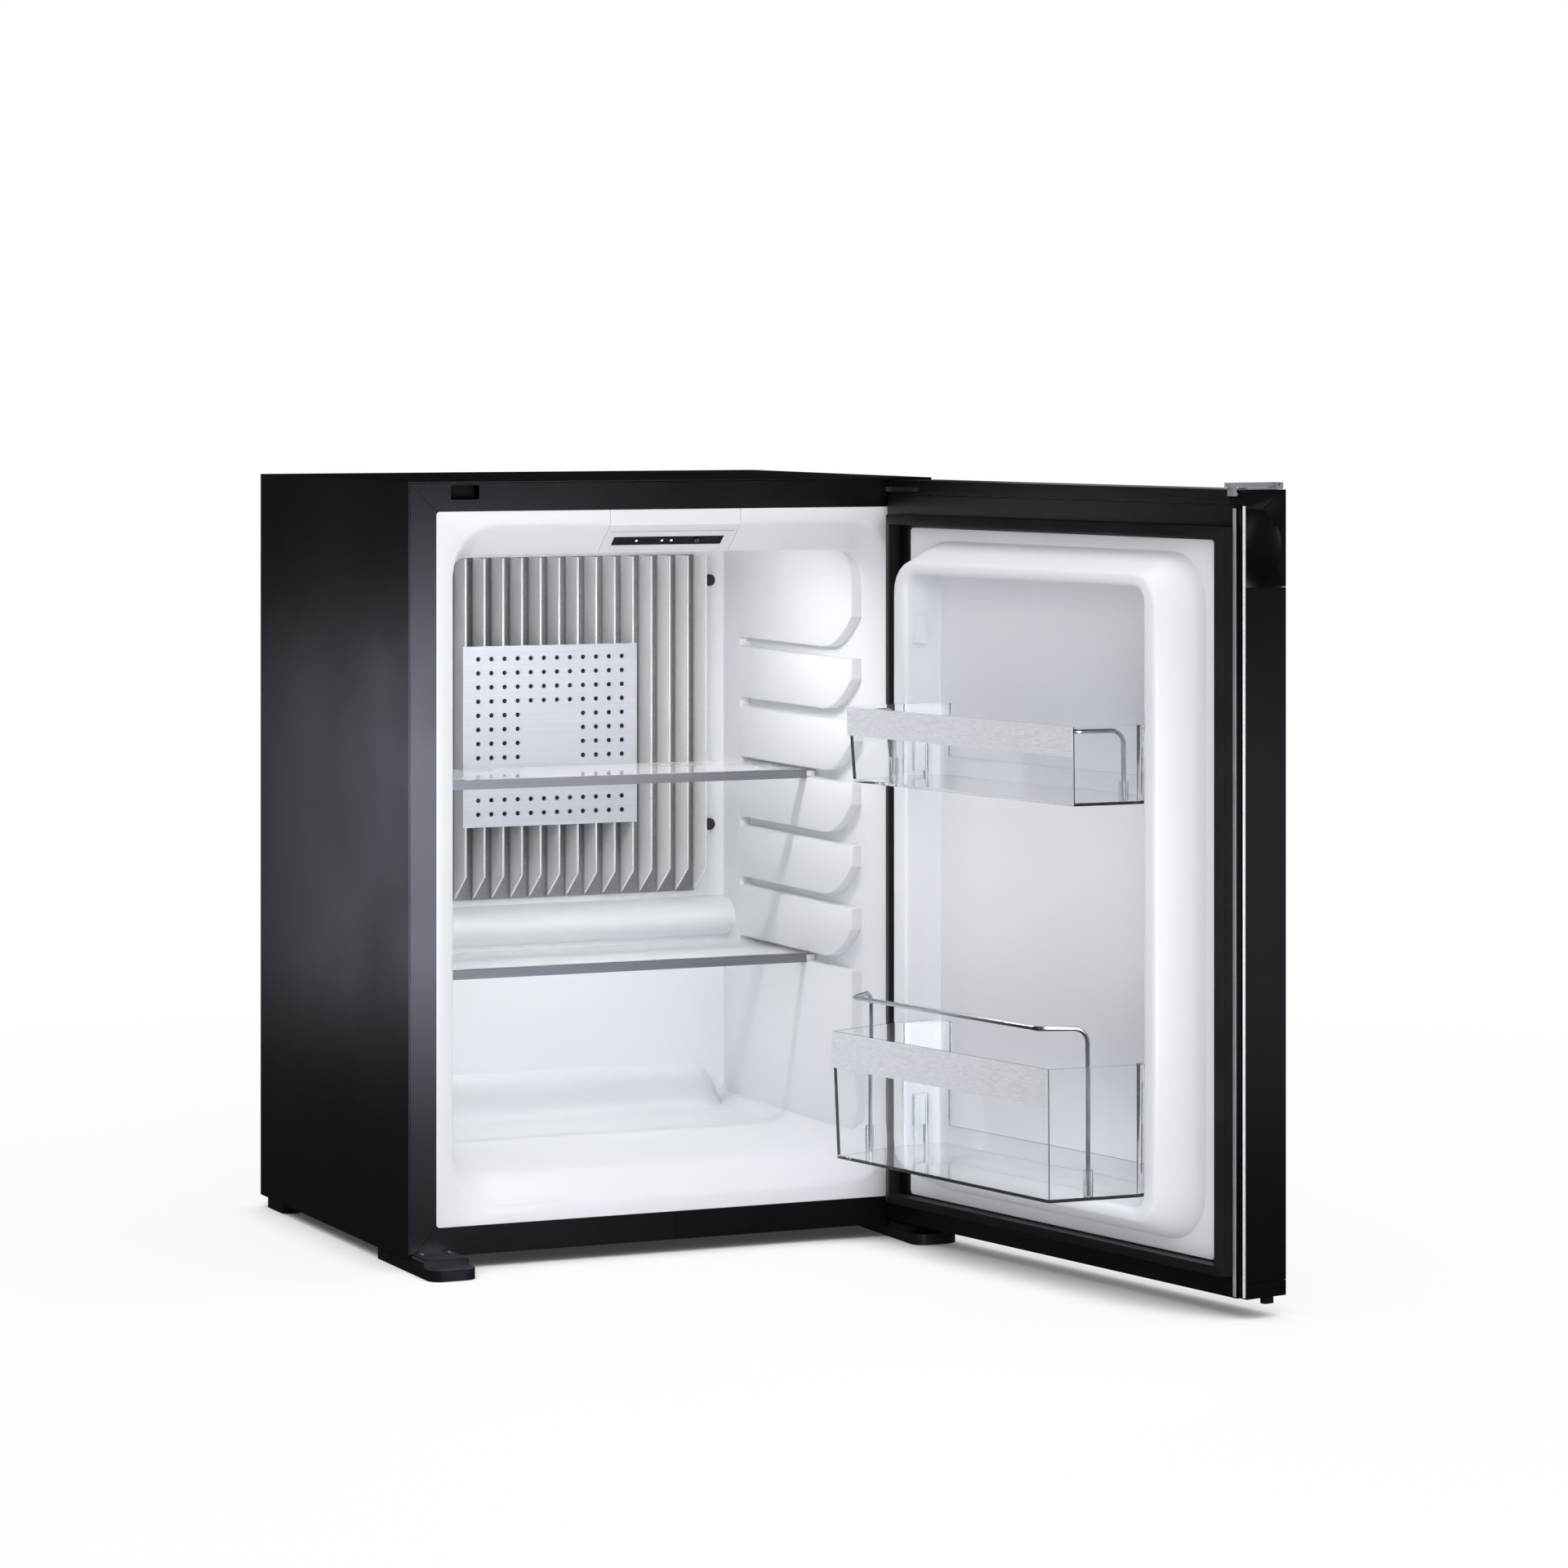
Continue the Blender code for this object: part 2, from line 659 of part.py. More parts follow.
# Everything moulded on the liner's walls ends half way through its wall
mid_wall = LINER_WALL / 2
mid_radius = (BACK_RADIUS + OUTER_BACK_RADIUS) / 2
mid_rings = hollow_rings(mid_wall, HOLLOW_BACK + mid_wall, mid_radius, (RING_SOFT,))


def moulded(name, mesh):
    """Joins a shape to the liner, cut to the middle of the liner's wall."""
    shape = cut(liner, "UNION", name, mesh, CABINET)
    cut(shape, "INTERSECT", f"{name}_limit", loft_mesh(f"{name}_limit", mid_rings), CABINET)


# Runner pads: one plate on each side, notched from the front by the six grooves
def runner_outline():
    pad_low = HOLLOW_FLOOR - JOIN
    pad_high = HOLLOW_CEILING + JOIN
    pad_back = HOLLOW_BACK + JOIN
    points = [(pad_back, pad_low), (PAD_FRONT + PAD_CORNER, pad_low)]
    points += arc(PAD_FRONT + PAD_CORNER, pad_low + PAD_CORNER, PAD_CORNER, 270, 180)[1:]
    end = RUNNER_HEIGHT / 2
    flare_depth = RUNNER_STRAIGHT_END - PAD_FRONT
    for k in reversed(range(RUNNER_COUNT)):
        ledge = RUNNER_FIRST - k * RUNNER_PITCH
        points.append((PAD_FRONT, ledge))
        points += arc(RUNNER_BACK - end, ledge + end, end, -90, 90, 4)
        rise = ledge + RUNNER_HEIGHT
        for share in np.linspace(0, 1, ARC_STEPS + 1):
            y = RUNNER_STRAIGHT_END - share * flare_depth
            points.append((y, rise + FLARE_HEIGHT * share ** 2))
    points += arc(PAD_FRONT + PAD_TOP_CORNER, pad_high - PAD_TOP_CORNER, PAD_TOP_CORNER, 180, 90)
    points.append((pad_back, pad_high))
    return points


def pad_mesh(name, wall, face):
    bm = bmesh.new()
    mesh = prism_mesh(name, runner_outline(), "x", wall, face)
    bm.from_mesh(mesh)
    edges = [edge for edge in bm.edges if all(abs(v.co.x - face) < FIT for v in edge.verts)]
    bmesh.ops.bevel(
        bm, geom=edges, offset=PAD_EDGE, segments=2, profile=0.5, affect="EDGES", clamp_overlap=True
    )
    bpy.data.meshes.remove(mesh)
    return closed_mesh(name, bm)


moulded("pads_left", pad_mesh("pads_left", FRAME_SIDE, PAD_FACE))
moulded("pads_right", pad_mesh("pads_right", CASE_WIDTH - FRAME_SIDE, CASE_WIDTH - PAD_FACE))


# Floor ramp at the foot of the back wall, low at its rounded ends
def ramp_ring(x, fullness):
    run = RAMP_RUN * fullness
    points = [(HOLLOW_BACK + JOIN, HOLLOW_FLOOR - JOIN), (HOLLOW_BACK - run, HOLLOW_FLOOR - JOIN)]
    for share in np.linspace(0, 1, ARC_STEPS + 1):
        rise = RAMP_RISE * fullness * share ** RAMP_POWER
        points.append((HOLLOW_BACK - run + run * share, HOLLOW_FLOOR + rise))
    points.append((HOLLOW_BACK + JOIN, HOLLOW_FLOOR + RAMP_RISE * fullness))
    return [(x, y, z) for y, z in points]


ramp_left = HOLLOW_SIDE + RAMP_INSET
ramp_turn = np.radians(np.linspace(RAMP_TIP_ANGLE, 90, ARC_STEPS))
ramp_ends = [(ramp_left + RAMP_END * (1 - math.cos(turn)), math.sin(turn)) for turn in ramp_turn]
ramp_rings = [ramp_ring(x, fullness) for x, fullness in ramp_ends]
ramp_rings += [ramp_ring(CASE_WIDTH - x, fullness) for x, fullness in reversed(ramp_ends)]
moulded("floor_ramp", loft_mesh("floor_ramp", ramp_rings))

# Rounded ledge under the evaporator
bulge_middle = BULGE_TOP - BULGE_HEIGHT / 2
bulge = [(HOLLOW_BACK + PAD_BITE, BULGE_TOP)] + [
    (HOLLOW_BACK - 2 * BULGE_DEPTH * (y - HOLLOW_BACK) / BULGE_HEIGHT, z)
    for y, z in arc(HOLLOW_BACK, bulge_middle, BULGE_HEIGHT / 2, 90, -90, 8)
] + [(HOLLOW_BACK + PAD_BITE, BULGE_TOP - BULGE_HEIGHT)]
ledge_left = PAD_FACE - PAD_EDGE * 2
moulded("evaporator_ledge", prism_mesh("evaporator_ledge", bulge, "x", ledge_left, CASE_WIDTH - ledge_left))

# Pocket of the light and control module in the liner's ceiling
module_x0 = MIDDLE - MODULE_WIDTH / 2
module_x1 = MIDDLE + MODULE_WIDTH / 2
lip_ceiling = FRAME_TOP_INSIDE - FIT - RING_TOP_LIP
slope_drop = lip_ceiling - HOLLOW_CEILING
slope_length = math.hypot(CEILING_SLOPE_DEPTH, slope_drop)
along_slope = np.array((CEILING_SLOPE_DEPTH, -slope_drop)) / slope_length
out_of_slope = np.array((-slope_drop, -CEILING_SLOPE_DEPTH)) / slope_length


def on_slope(reach, height):
    """A (y, z) point on the module's sloping face: reach from its front edge, height out of it."""
    return tuple(np.array((0.0, lip_ceiling)) + reach * along_slope + height * out_of_slope)


def slope_bar(start, length, low, high):
    return [
        on_slope(start, low),
        on_slope(start + length, low),
        on_slope(start + length, high),
        on_slope(start, high),
    ]


module_top = FRAME_TOP_INSIDE - FIT
pocket = box(-JOIN, MODULE_DEPTH + FIT, HOLLOW_CEILING - JOIN, FRAME_TOP_INSIDE + JOIN)
pocket_mesh = prism_mesh("module_pocket", pocket, "x", module_x0 - FIT, module_x1 + FIT)
cut(liner, "DIFFERENCE", "module_pocket", pocket_mesh, CABINET)
housing_outline = [
    (0.0, module_top),
    (0.0, lip_ceiling),
    (CEILING_SLOPE_DEPTH, HOLLOW_CEILING),
    (MODULE_DEPTH, HOLLOW_CEILING),
    (MODULE_DEPTH, module_top),
]
housing_mesh = prism_mesh("light_housing", housing_outline, "x", module_x0, module_x1)
housing = place("light_housing", housing_mesh, HOUSING_WHITE, CABINET)
seat_left = PANEL_LEFT - FIT
seat_right = PANEL_RIGHT + FIT
panel_seat = slope_bar(PANEL_FROM - FIT, PANEL_LENGTH + 2 * FIT, -PANEL_DEPTH - FIT, JOIN)
panel_seat_mesh = prism_mesh("panel_seat", panel_seat, "x", seat_left, seat_right)
cut(housing, "DIFFERENCE", "panel_seat", panel_seat_mesh, CABINET)
lamp_seat = slope_bar(LAMP_FROM - FIT, LAMP_LENGTH + 2 * FIT, -LAMP_DEPTH - FIT, JOIN)
lamp_seat_mesh = prism_mesh("lamp_seat", lamp_seat, "x", seat_left, seat_right)
cut(housing, "DIFFERENCE", "lamp_seat", lamp_seat_mesh, CABINET)
slot = slope_bar(MODULE_SLOT_FROM, MODULE_SLOT, -MODULE_SLOT_DEPTH, JOIN)
slot_mesh = prism_mesh("housing_slot", slot, "x", module_x0 + JOIN, module_x1 - JOIN)
cut(housing, "DIFFERENCE", "housing_slot", slot_mesh, CABINET)
panel_outline = slope_bar(PANEL_FROM, PANEL_LENGTH, -PANEL_DEPTH, 0.0)
panel_mesh = prism_mesh("control_panel", panel_outline, "x", PANEL_LEFT, PANEL_RIGHT)
panel = place("control_panel", panel_mesh, GLOSS_BLACK, CABINET)
lamp_outline = slope_bar(LAMP_FROM, LAMP_LENGTH, -LAMP_DEPTH, 0.0)
lamp_mesh = prism_mesh("lamp_diffuser", lamp_outline, "x", PANEL_LEFT, PANEL_RIGHT)
place("lamp_diffuser", lamp_mesh, LAMP_WHITE, CABINET)


def slope_pin(name, x, radius, low, high, sides=ROUND_SIDES):
    """A round pin square to the sloping panel, between two heights over its face."""
    rings = []
    for height in (low, high):
        ring = []
        for u, v in disc(0.0, 0.0, radius, sides):
            y, z = on_slope(PANEL_FROM + PANEL_LENGTH / 2 + v, height)
            ring.append((x + u, y, z))
        rings.append(ring)
    return loft_mesh(name, rings)


button_low = BUTTON_PROUD - BUTTON_LENGTH
well_low = button_low - BUTTON_TRAVEL - FIT
button_well = slope_pin("button_well", BUTTON_X, BUTTON_RADIUS + FIT, well_low, JOIN)
cut(panel, "DIFFERENCE", "button_hole", button_well.copy(), CABINET)
cut(housing, "DIFFERENCE", "button_well", button_well, CABINET)
button_at = (BUTTON_X, *on_slope(PANEL_FROM + PANEL_LENGTH / 2, 0.0))
BUTTON = (empty("button_axis", button_at, ROOT), button_at)
button_mesh = slope_pin("power_button", BUTTON_X, BUTTON_RADIUS, button_low, BUTTON_PROUD)
place("power_button", button_mesh, LATCH_GREY, BUTTON, SMOOTH)
for name, x in (
    ("light_sensor", SENSOR_X),
    ("indicator_light_1", LIGHT_1_X),
    ("indicator_light_2", LIGHT_2_X),
):
    well = slope_pin(f"{name}_well", x, LIGHT_RADIUS + FIT, -PANEL_DEPTH / 2, JOIN, SMALL_SIDES)
    cut(panel, "DIFFERENCE", f"{name}_well", well, CABINET)
    lens = slope_pin(name, x, LIGHT_RADIUS, FIT - PANEL_DEPTH / 2, 0.0, SMALL_SIDES)
    place(name, lens, LAMP_WHITE, CABINET)

# Foam between the case and the liner
foam_outline = box(inner_x0, inner_x1, SHEET + FIT, FRAME_TOP)
foam_mesh = prism_mesh("insulation_foam", foam_outline, "y", FRAME_DEPTH + FIT, CASE_DEPTH - SHEET - FIT)
foam = place("insulation_foam", foam_mesh, FOAM, CABINET)
foam_hollow = hollow_rings(LINER_WALL + FIT, outer_back + FIT, OUTER_BACK_RADIUS, (RING_SOFT,))
front_ring = [(x, -JOIN, z) for x, y, z in foam_hollow[-1]]
cut(foam, "DIFFERENCE", "foam_hollow", loft_mesh("foam_hollow", foam_hollow + [front_ring]), CABINET)
foam_pocket = box(0.0, MODULE_DEPTH + FIT, HOLLOW_CEILING - JOIN, module_top + FIT)
foam_pocket_mesh = prism_mesh("foam_pocket", foam_pocket, "x", module_x0 - FIT, module_x1 + FIT)
cut(foam, "DIFFERENCE", "foam_pocket", foam_pocket_mesh, CABINET)

# Evaporator: a comb of fins on a base plate, chamfered at its lower end, behind a perforated cover
fin_back = HOLLOW_BACK - FIT
fin_front = fin_back - FIN_BASE - FIN_DEPTH
first_fin = MIDDLE - (FIN_COUNT - 1) * FIN_PITCH / 2
comb = [(first_fin - FIN_THICKNESS / 2, fin_back)]
for k in range(FIN_COUNT):
    centre = first_fin + k * FIN_PITCH
    low = centre - FIN_THICKNESS / 2
    high = centre + FIN_THICKNESS / 2
    if k:
        comb.append((low, fin_back - FIN_BASE))
    comb += [(low, fin_front), (high, fin_front)]
    if k < FIN_COUNT - 1:
        comb.append((high, fin_back - FIN_BASE))
comb.append((first_fin + (FIN_COUNT - 1) * FIN_PITCH + FIN_THICKNESS / 2, fin_back))
evaporator_mesh = prism_mesh("evaporator_fins", comb, "z", FIN_BOTTOM, HOLLOW_CEILING - BACK_RADIUS - FIT)
evaporator = place("evaporator_fins", evaporator_mesh, ALUMINIUM, CABINET)
chamfer = [
    (fin_front - JOIN, FIN_BOTTOM - JOIN),
    (fin_back - FIN_BASE, FIN_BOTTOM - JOIN),
    (fin_back - FIN_BASE, FIN_BOTTOM),
    (fin_front - JOIN, FIN_BOTTOM + FIN_CHAMFER + JOIN),
]
chamfer_mesh = prism_mesh("fin_chamfer", chamfer, "x", FRAME_SIDE, CASE_WIDTH - FRAME_SIDE)
cut(evaporator, "DIFFERENCE", "fin_chamfer", chamfer_mesh, CABINET)
cover_back = fin_front - COVER_STANDOFF
cover_x0 = MIDDLE - COVER_WIDTH / 2
cover_outline = box(cover_x0, cover_x0 + COVER_WIDTH, COVER_BOTTOM, COVER_BOTTOM + COVER_HEIGHT)
cover_mesh = prism_mesh("evaporator_cover", cover_outline, "y", cover_back - COVER_THICKNESS, cover_back)
cover = place("evaporator_cover", cover_mesh, ALUMINIUM, CABINET)
hole_span = (HOLE_ROWS - 1) * HOLE_PITCH / 2
holes = []
for row in range(HOLE_ROWS):
    for column in range(HOLE_ROWS):
        if BLANK_FIRST <= row <= BLANK_LAST and BLANK_FIRST <= column <= BLANK_LAST:
            continue
        at_x = MIDDLE - hole_span + column * HOLE_PITCH
        at_z = COVER_BOTTOM + COVER_HEIGHT / 2 - hole_span + row * HOLE_PITCH
        ring = disc(at_x, at_z, HOLE_RADIUS, HOLE_SIDES)
        holes.append(prism_mesh("hole", ring, "y", cover_back - COVER_THICKNESS - JOIN, cover_back + JOIN))
cut(cover, "DIFFERENCE", "cover_holes", joined_mesh("cover_holes", holes), CABINET)
for name, height in (("wall_plug_1", PLUG_TOP), ("wall_plug_2", PLUG_LOW)):
    plug_ring = disc(PLUG_X, height, PLUG_RADIUS)
    plug = prism_mesh(name, plug_ring, "y", HOLLOW_BACK - FIT - PLUG_PROUD, HOLLOW_BACK - FIT)
    place(name, plug, RUBBER_BLACK, CABINET, SMOOTH)

# Shelves: a glass plate in the runner grooves, with a metal trim along its front edge
shelf_side = HOLLOW_SIDE + SHELF_CLEARANCE
for name, runner in (("upper", UPPER_SHELF_RUNNER), ("lower", LOWER_SHELF_RUNNER)):
    under = RUNNER_FIRST - (runner - 1) * RUNNER_PITCH + FIT
    shelf_at = (MIDDLE, SHELF_FRONT, under)
    shelf = (empty(f"shelf_{name}_axis", shelf_at, ROOT), shelf_at)
    glass_front = SHELF_FRONT + TRIM_LIP + FIT
    glass_back = RUNNER_BACK - SHELF_BACK_GAP
    corner_x = shelf_side + SHELF_BACK_CORNER
    corner_y = glass_back - SHELF_BACK_CORNER
    glass_outline = (
        [(shelf_side, glass_front), (CASE_WIDTH - shelf_side, glass_front)]
        + arc(CASE_WIDTH - corner_x, corner_y, SHELF_BACK_CORNER, 0, 90)
        + arc(corner_x, corner_y, SHELF_BACK_CORNER, 90, 180)
    )
    plate = prism_mesh(f"shelf_{name}_glass", glass_outline, "z", under, under + GLASS)
    place(f"shelf_{name}_glass", plate, GLASS_CLEAR, shelf)
    trim_low = under - FIT - TRIM_LIP
    trim_high = under + GLASS + FIT + TRIM_LIP
    channel = [
        (SHELF_FRONT, trim_low),
        (SHELF_FRONT + TRIM_DEPTH, trim_low),
        (SHELF_FRONT + TRIM_DEPTH, under - FIT),
        (glass_front - FIT, under - FIT),
        (glass_front - FIT, under + GLASS + FIT),
        (SHELF_FRONT + TRIM_DEPTH, under + GLASS + FIT),
        (SHELF_FRONT + TRIM_DEPTH, trim_high),
        (SHELF_FRONT, trim_high),
    ]
    trim_left = TRIM_SIDE + FIT
    trim_mesh = prism_mesh(f"shelf_{name}_trim", channel, "x", trim_left, CASE_WIDTH - trim_left)
    place(f"shelf_{name}_trim", trim_mesh, BRUSHED, shelf)

# Top hinge plate let into the frame, with the pin that hangs into the door
plate_top = HINGE_PLATE_BOTTOM + HINGE_PLATE
hinge_outline = (
    [
        (PIN_X - HINGE_PLATE_ROOT_HALF, HINGE_PLATE_TAIL),
        (PIN_X - HINGE_PLATE_ROOT_HALF, 0.0),
    ]
    + arc(PIN_X, -PIN_TO_FRONT, HINGE_PLATE_END, 180, 360, 2 * ARC_STEPS)
    + [
        (PIN_X + HINGE_PLATE_ROOT_HALF, 0.0),
        (PIN_X + HINGE_PLATE_ROOT_HALF, HINGE_PLATE_TAIL),
    ]
)
hinge_plate = place(
    "top_hinge_plate",
    prism_mesh("top_hinge_plate", hinge_outline, "z", HINGE_PLATE_BOTTOM, plate_top),
    UNIT_BLACK,
    CABINET,
)
pin_ring = disc(PIN_X, -PIN_TO_FRONT, HINGE_PIN_RADIUS)
pin_hole = disc(PIN_X, -PIN_TO_FRONT, HINGE_PIN_RADIUS + FIT)
top_pin_low = HINGE_PLATE_BOTTOM - HINGE_PIN_REACH
top_hole = prism_mesh("top_pin_hole", pin_hole, "z", HINGE_PLATE_BOTTOM - JOIN, plate_top + JOIN)
cut(hinge_plate, "DIFFERENCE", "top_pin_hole", top_hole, CABINET)
top_pin_mesh = prism_mesh("top_hinge_pin", pin_ring, "z", top_pin_low, plate_top)
place("top_hinge_pin", top_pin_mesh, STEEL, CABINET, SMOOTH)
slot_x0 = PIN_X - HINGE_PLATE_ROOT_HALF - FIT
slot_x1 = PIN_X + HINGE_PLATE_ROOT_HALF + FIT
hinge_slot = box(slot_x0, slot_x1, HINGE_PLATE_BOTTOM - FIT, plate_top + FIT)
for name in ("frame_top", "frame_right"):
    tool = prism_mesh(f"hinge_slot_{name}", hinge_slot, "y", -JOIN, HINGE_PLATE_TAIL + FIT)
    cut(frame[name], "DIFFERENCE", f"hinge_slot_{name}", tool, CABINET)

# Bracket feet under the front corners: a low foot, and a block in front of the frame
for side in ("left", "right"):
    turn = side == "right"
    front_corners = arc(BRACKET_CORNER, -BRACKET_FRONT + BRACKET_CORNER, BRACKET_CORNER, 180, 270)
    front_corners += arc(
        BRACKET_WIDTH - BRACKET_CORNER, -BRACKET_FRONT + BRACKET_CORNER, BRACKET_CORNER, 270, 360
    )
    foot_outline = front_corners + [(BRACKET_WIDTH, BRACKET_BACK), (0.0, BRACKET_BACK)]
    block_outline = [
        (BLOCK_MARGIN, -FOOT_DROP / 2),
        (BRACKET_WIDTH - BLOCK_MARGIN / 2, -FOOT_DROP / 2),
        *arc(BRACKET_WIDTH - BLOCK_MARGIN / 2 - BLOCK_CORNER, BLOCK_TOP - BLOCK_CORNER, BLOCK_CORNER, 0, 90, 4),
        *arc(BLOCK_MARGIN + BLOCK_CORNER, BLOCK_TOP - BLOCK_CORNER, BLOCK_CORNER, 90, 180, 4),
    ]
    if turn:
        foot_outline = [(CASE_WIDTH - x, y) for x, y in foot_outline]
        block_outline = [(CASE_WIDTH - x, z) for x, z in block_outline]
    name = f"bracket_{side}"
    bracket_mesh = prism_mesh(name, foot_outline, "z", -FOOT_DROP, -FIT)
    bracket = place(name, bracket_mesh, UNIT_BLACK, CABINET)
    block_mesh = prism_mesh(f"block_{side}", block_outline, "y", -BLOCK_FRONT, -FIT)
    cut(bracket, "UNION", f"block_{side}", block_mesh, CABINET)
    if turn:
        bore = prism_mesh("bottom_pin_bore", pin_hole, "z", -FOOT_DROP / 2 - FIT, BLOCK_TOP + JOIN)
        cut(bracket, "DIFFERENCE", "bottom_pin_bore", bore, CABINET)
pin_reach = DOOR_BOTTOM + BOTTOM_CAP - JOIN
place(
    "bottom_hinge_pin",
    prism_mesh("bottom_hinge_pin", pin_ring, "z", -FOOT_DROP / 2, pin_reach - FIT),
    STEEL,
    CABINET,
    SMOOTH,
)
for side in ("left", "right"):
    x0 = REAR_FOOT_SIDE if side == "left" else CASE_WIDTH - REAR_FOOT_SIDE - REAR_FOOT_WIDTH
    outline = round_box(x0, x0 + REAR_FOOT_WIDTH, REAR_FOOT_FRONT, REAR_FOOT_BACK, REAR_FOOT_CORNER)
    name = f"rear_foot_{side}"
    place(name, prism_mesh(name, outline, "z", -FOOT_DROP, -FIT), RUBBER_BLACK, CABINET)


# Door
def hinge_end(left, y_in):
    """Plan outline of a full-width door layer, its hinge end rounded so that it turns clear of the case."""
    return (
        [(left, DOOR_OUT)]
        + arc(CASE_WIDTH - HINGE_OUTER_RADIUS, DOOR_OUT + HINGE_OUTER_RADIUS, HINGE_OUTER_RADIUS, 270, 360)
        + arc(CASE_WIDTH - HINGE_INNER_RADIUS, y_in - HINGE_INNER_RADIUS, HINGE_INNER_RADIUS, 0, 90)
        + [(left, y_in)]
    )


bar_back = DOOR_BACKING - FIT
cap_bottom = FLANGE_TOP + FIT
bars_bottom = DOOR_BOTTOM + BOTTOM_CAP + FIT
grip_bottom = DOOR_TOP - GRIP_HEIGHT
free_bar_outline = box(0.0, BAR_WIDTH, DOOR_OUT, bar_back)
free_bar = prism_mesh("door_free_bar", free_bar_outline, "z", bars_bottom, grip_bottom - FIT)
place("door_free_bar", free_bar, FRAME_BLACK, DOOR)
hinge_bar_left = CASE_WIDTH - HINGE_BAR_WIDTH
hinge_bar_outline = hinge_end(hinge_bar_left, bar_back)
hinge_bar_mesh = prism_mesh("door_hinge_bar", hinge_bar_outline, "z", bars_bottom, FLANGE_TOP)
hinge_bar = place("door_hinge_bar", hinge_bar_mesh, FRAME_BLACK, DOOR, SMOOTH)
panel_left = BAR_WIDTH + FIT
panel_right = hinge_bar_left - FIT
outer_outline = box(panel_left, panel_right, DOOR_OUT, DOOR_OUT + DOOR_PANEL)
outer_panel = prism_mesh("door_outer_panel", outer_outline, "z", bars_bottom, FLANGE_TOP)
place("door_outer_panel", outer_panel, FRAME_BLACK, DOOR)
top_cap_mesh = prism_mesh("door_top_cap", hinge_end(panel_left, DOOR_IN), "z", cap_bottom, DOOR_TOP)
top_cap = place("door_top_cap", top_cap_mesh, FRAME_BLACK, DOOR, SMOOTH)
bottom_cap_outline = hinge_end(0.0, bar_back)
bottom_cap_top = DOOR_BOTTOM + BOTTOM_CAP
bottom_cap_mesh = prism_mesh("door_bottom_cap", bottom_cap_outline, "z", DOOR_BOTTOM, bottom_cap_top)
bottom_cap = place("door_bottom_cap", bottom_cap_mesh, FRAME_BLACK, DOOR, SMOOTH)
plate_room = box(
    PIN_X - HINGE_PLATE_ROOT_HALF - HINGE_ROOM,
    CASE_WIDTH + JOIN,
    DOOR_OUT + HINGE_ROOM,
    DOOR_IN + JOIN,
)
room_mesh = prism_mesh("hinge_plate_room", plate_room, "z", HINGE_PLATE_BOTTOM - FIT, plate_top + FIT)
cut(top_cap, "DIFFERENCE", "hinge_plate_room", room_mesh, DOOR)
top_bore = prism_mesh("top_pin_bore", pin_hole, "z", top_pin_low - FIT, HINGE_PLATE_BOTTOM)
cut(top_cap, "DIFFERENCE", "top_cap_bore", top_bore.copy(), DOOR)
cut(hinge_bar, "DIFFERENCE", "top_pin_bore", top_bore, DOOR)
cap_bore = prism_mesh("cap_pin_bore", pin_hole, "z", DOOR_BOTTOM - JOIN, pin_reach)
cut(bottom_cap, "DIFFERENCE", "cap_pin_bore", cap_bore, DOOR)

# Grip: a moulded insert at the top of the free edge, scooped for the fingers
grip_outline = [
    (DOOR_OUT, grip_bottom),
    (bar_back, grip_bottom),
    (bar_back, cap_bottom),
    (DOOR_IN, cap_bottom),
    (DOOR_IN, DOOR_TOP - GRIP_CORNER),
    *arc(DOOR_IN - GRIP_CORNER, DOOR_TOP - GRIP_CORNER, GRIP_CORNER, 0, 90, 4)[1:],
    (DOOR_OUT, DOOR_TOP),
]
grip_mesh = prism_mesh("grip_insert", grip_outline, "x", 0.0, BAR_WIDTH)
grip = place("grip_insert", grip_mesh, FRAME_BLACK, DOOR, SMOOTH)
scoop_bm = bmesh.new()
scoop_at = (SCOOP_DEPTH - SCOOP_CURVE, bar_back - SCOOP_FROM_INSIDE, grip_bottom + SCOOP_RISE)
scoop_size = (SCOOP_CURVE, SCOOP_HALF_WIDTH, SCOOP_HALF_HEIGHT, 1.0)
scoop_frame = Matrix.Translation(scoop_at) @ Matrix.Diagonal(scoop_size)
bmesh.ops.create_uvsphere(
    scoop_bm, u_segments=SCOOP_SIDES, v_segments=ROUND_SIDES, radius=1.0, matrix=scoop_frame
)
cut(grip, "DIFFERENCE", "grip_scoop", closed_mesh("grip_scoop", scoop_bm), DOOR)

# Inner frame of the door, its edge groove, and the bright strip along the free edge
flange_outline = round_box(FLANGE_LEFT, FLANGE_RIGHT, DOOR_BOTTOM, FLANGE_TOP, FLANGE_CORNER, steps=3)
flange_mesh = prism_mesh("door_inner_frame", flange_outline, "y", DOOR_BACKING, DOOR_IN)
flange = place("door_inner_frame", flange_mesh, FRAME_BLACK, DOOR)
window = box(PLATE_LEFT - FIT, PLATE_RIGHT + FIT, PLATE_BOTTOM - FIT, PLATE_TOP + FIT)
window_mesh = prism_mesh("liner_window", window, "y", DOOR_BACKING - JOIN, DOOR_IN + JOIN)
cut(flange, "DIFFERENCE", "liner_window", window_mesh, DOOR)
groove_right = FLANGE_GROOVE_LEFT + FLANGE_GROOVE_WIDTH
groove = box(FLANGE_GROOVE_LEFT, groove_right, DOOR_IN - FLANGE_GROOVE_DEPTH, DOOR_IN + JOIN)
groove_mesh = prism_mesh("edge_groove", groove, "z", EDGE_TRIM_BOTTOM, EDGE_TRIM_TOP)
cut(flange, "DIFFERENCE", "edge_groove", groove_mesh, DOOR)
trim_outline = round_box(
    EDGE_TRIM_LEFT,
    EDGE_TRIM_LEFT + EDGE_TRIM_WIDTH,
    DOOR_BACKING,
    DOOR_IN,
    EDGE_TRIM_CORNER,
    steps=4,
)
trim_mesh = prism_mesh("edge_trim", trim_outline, "z", EDGE_TRIM_BOTTOM, EDGE_TRIM_TOP)
place("edge_trim", trim_mesh, BRUSHED, DOOR, SMOOTH)
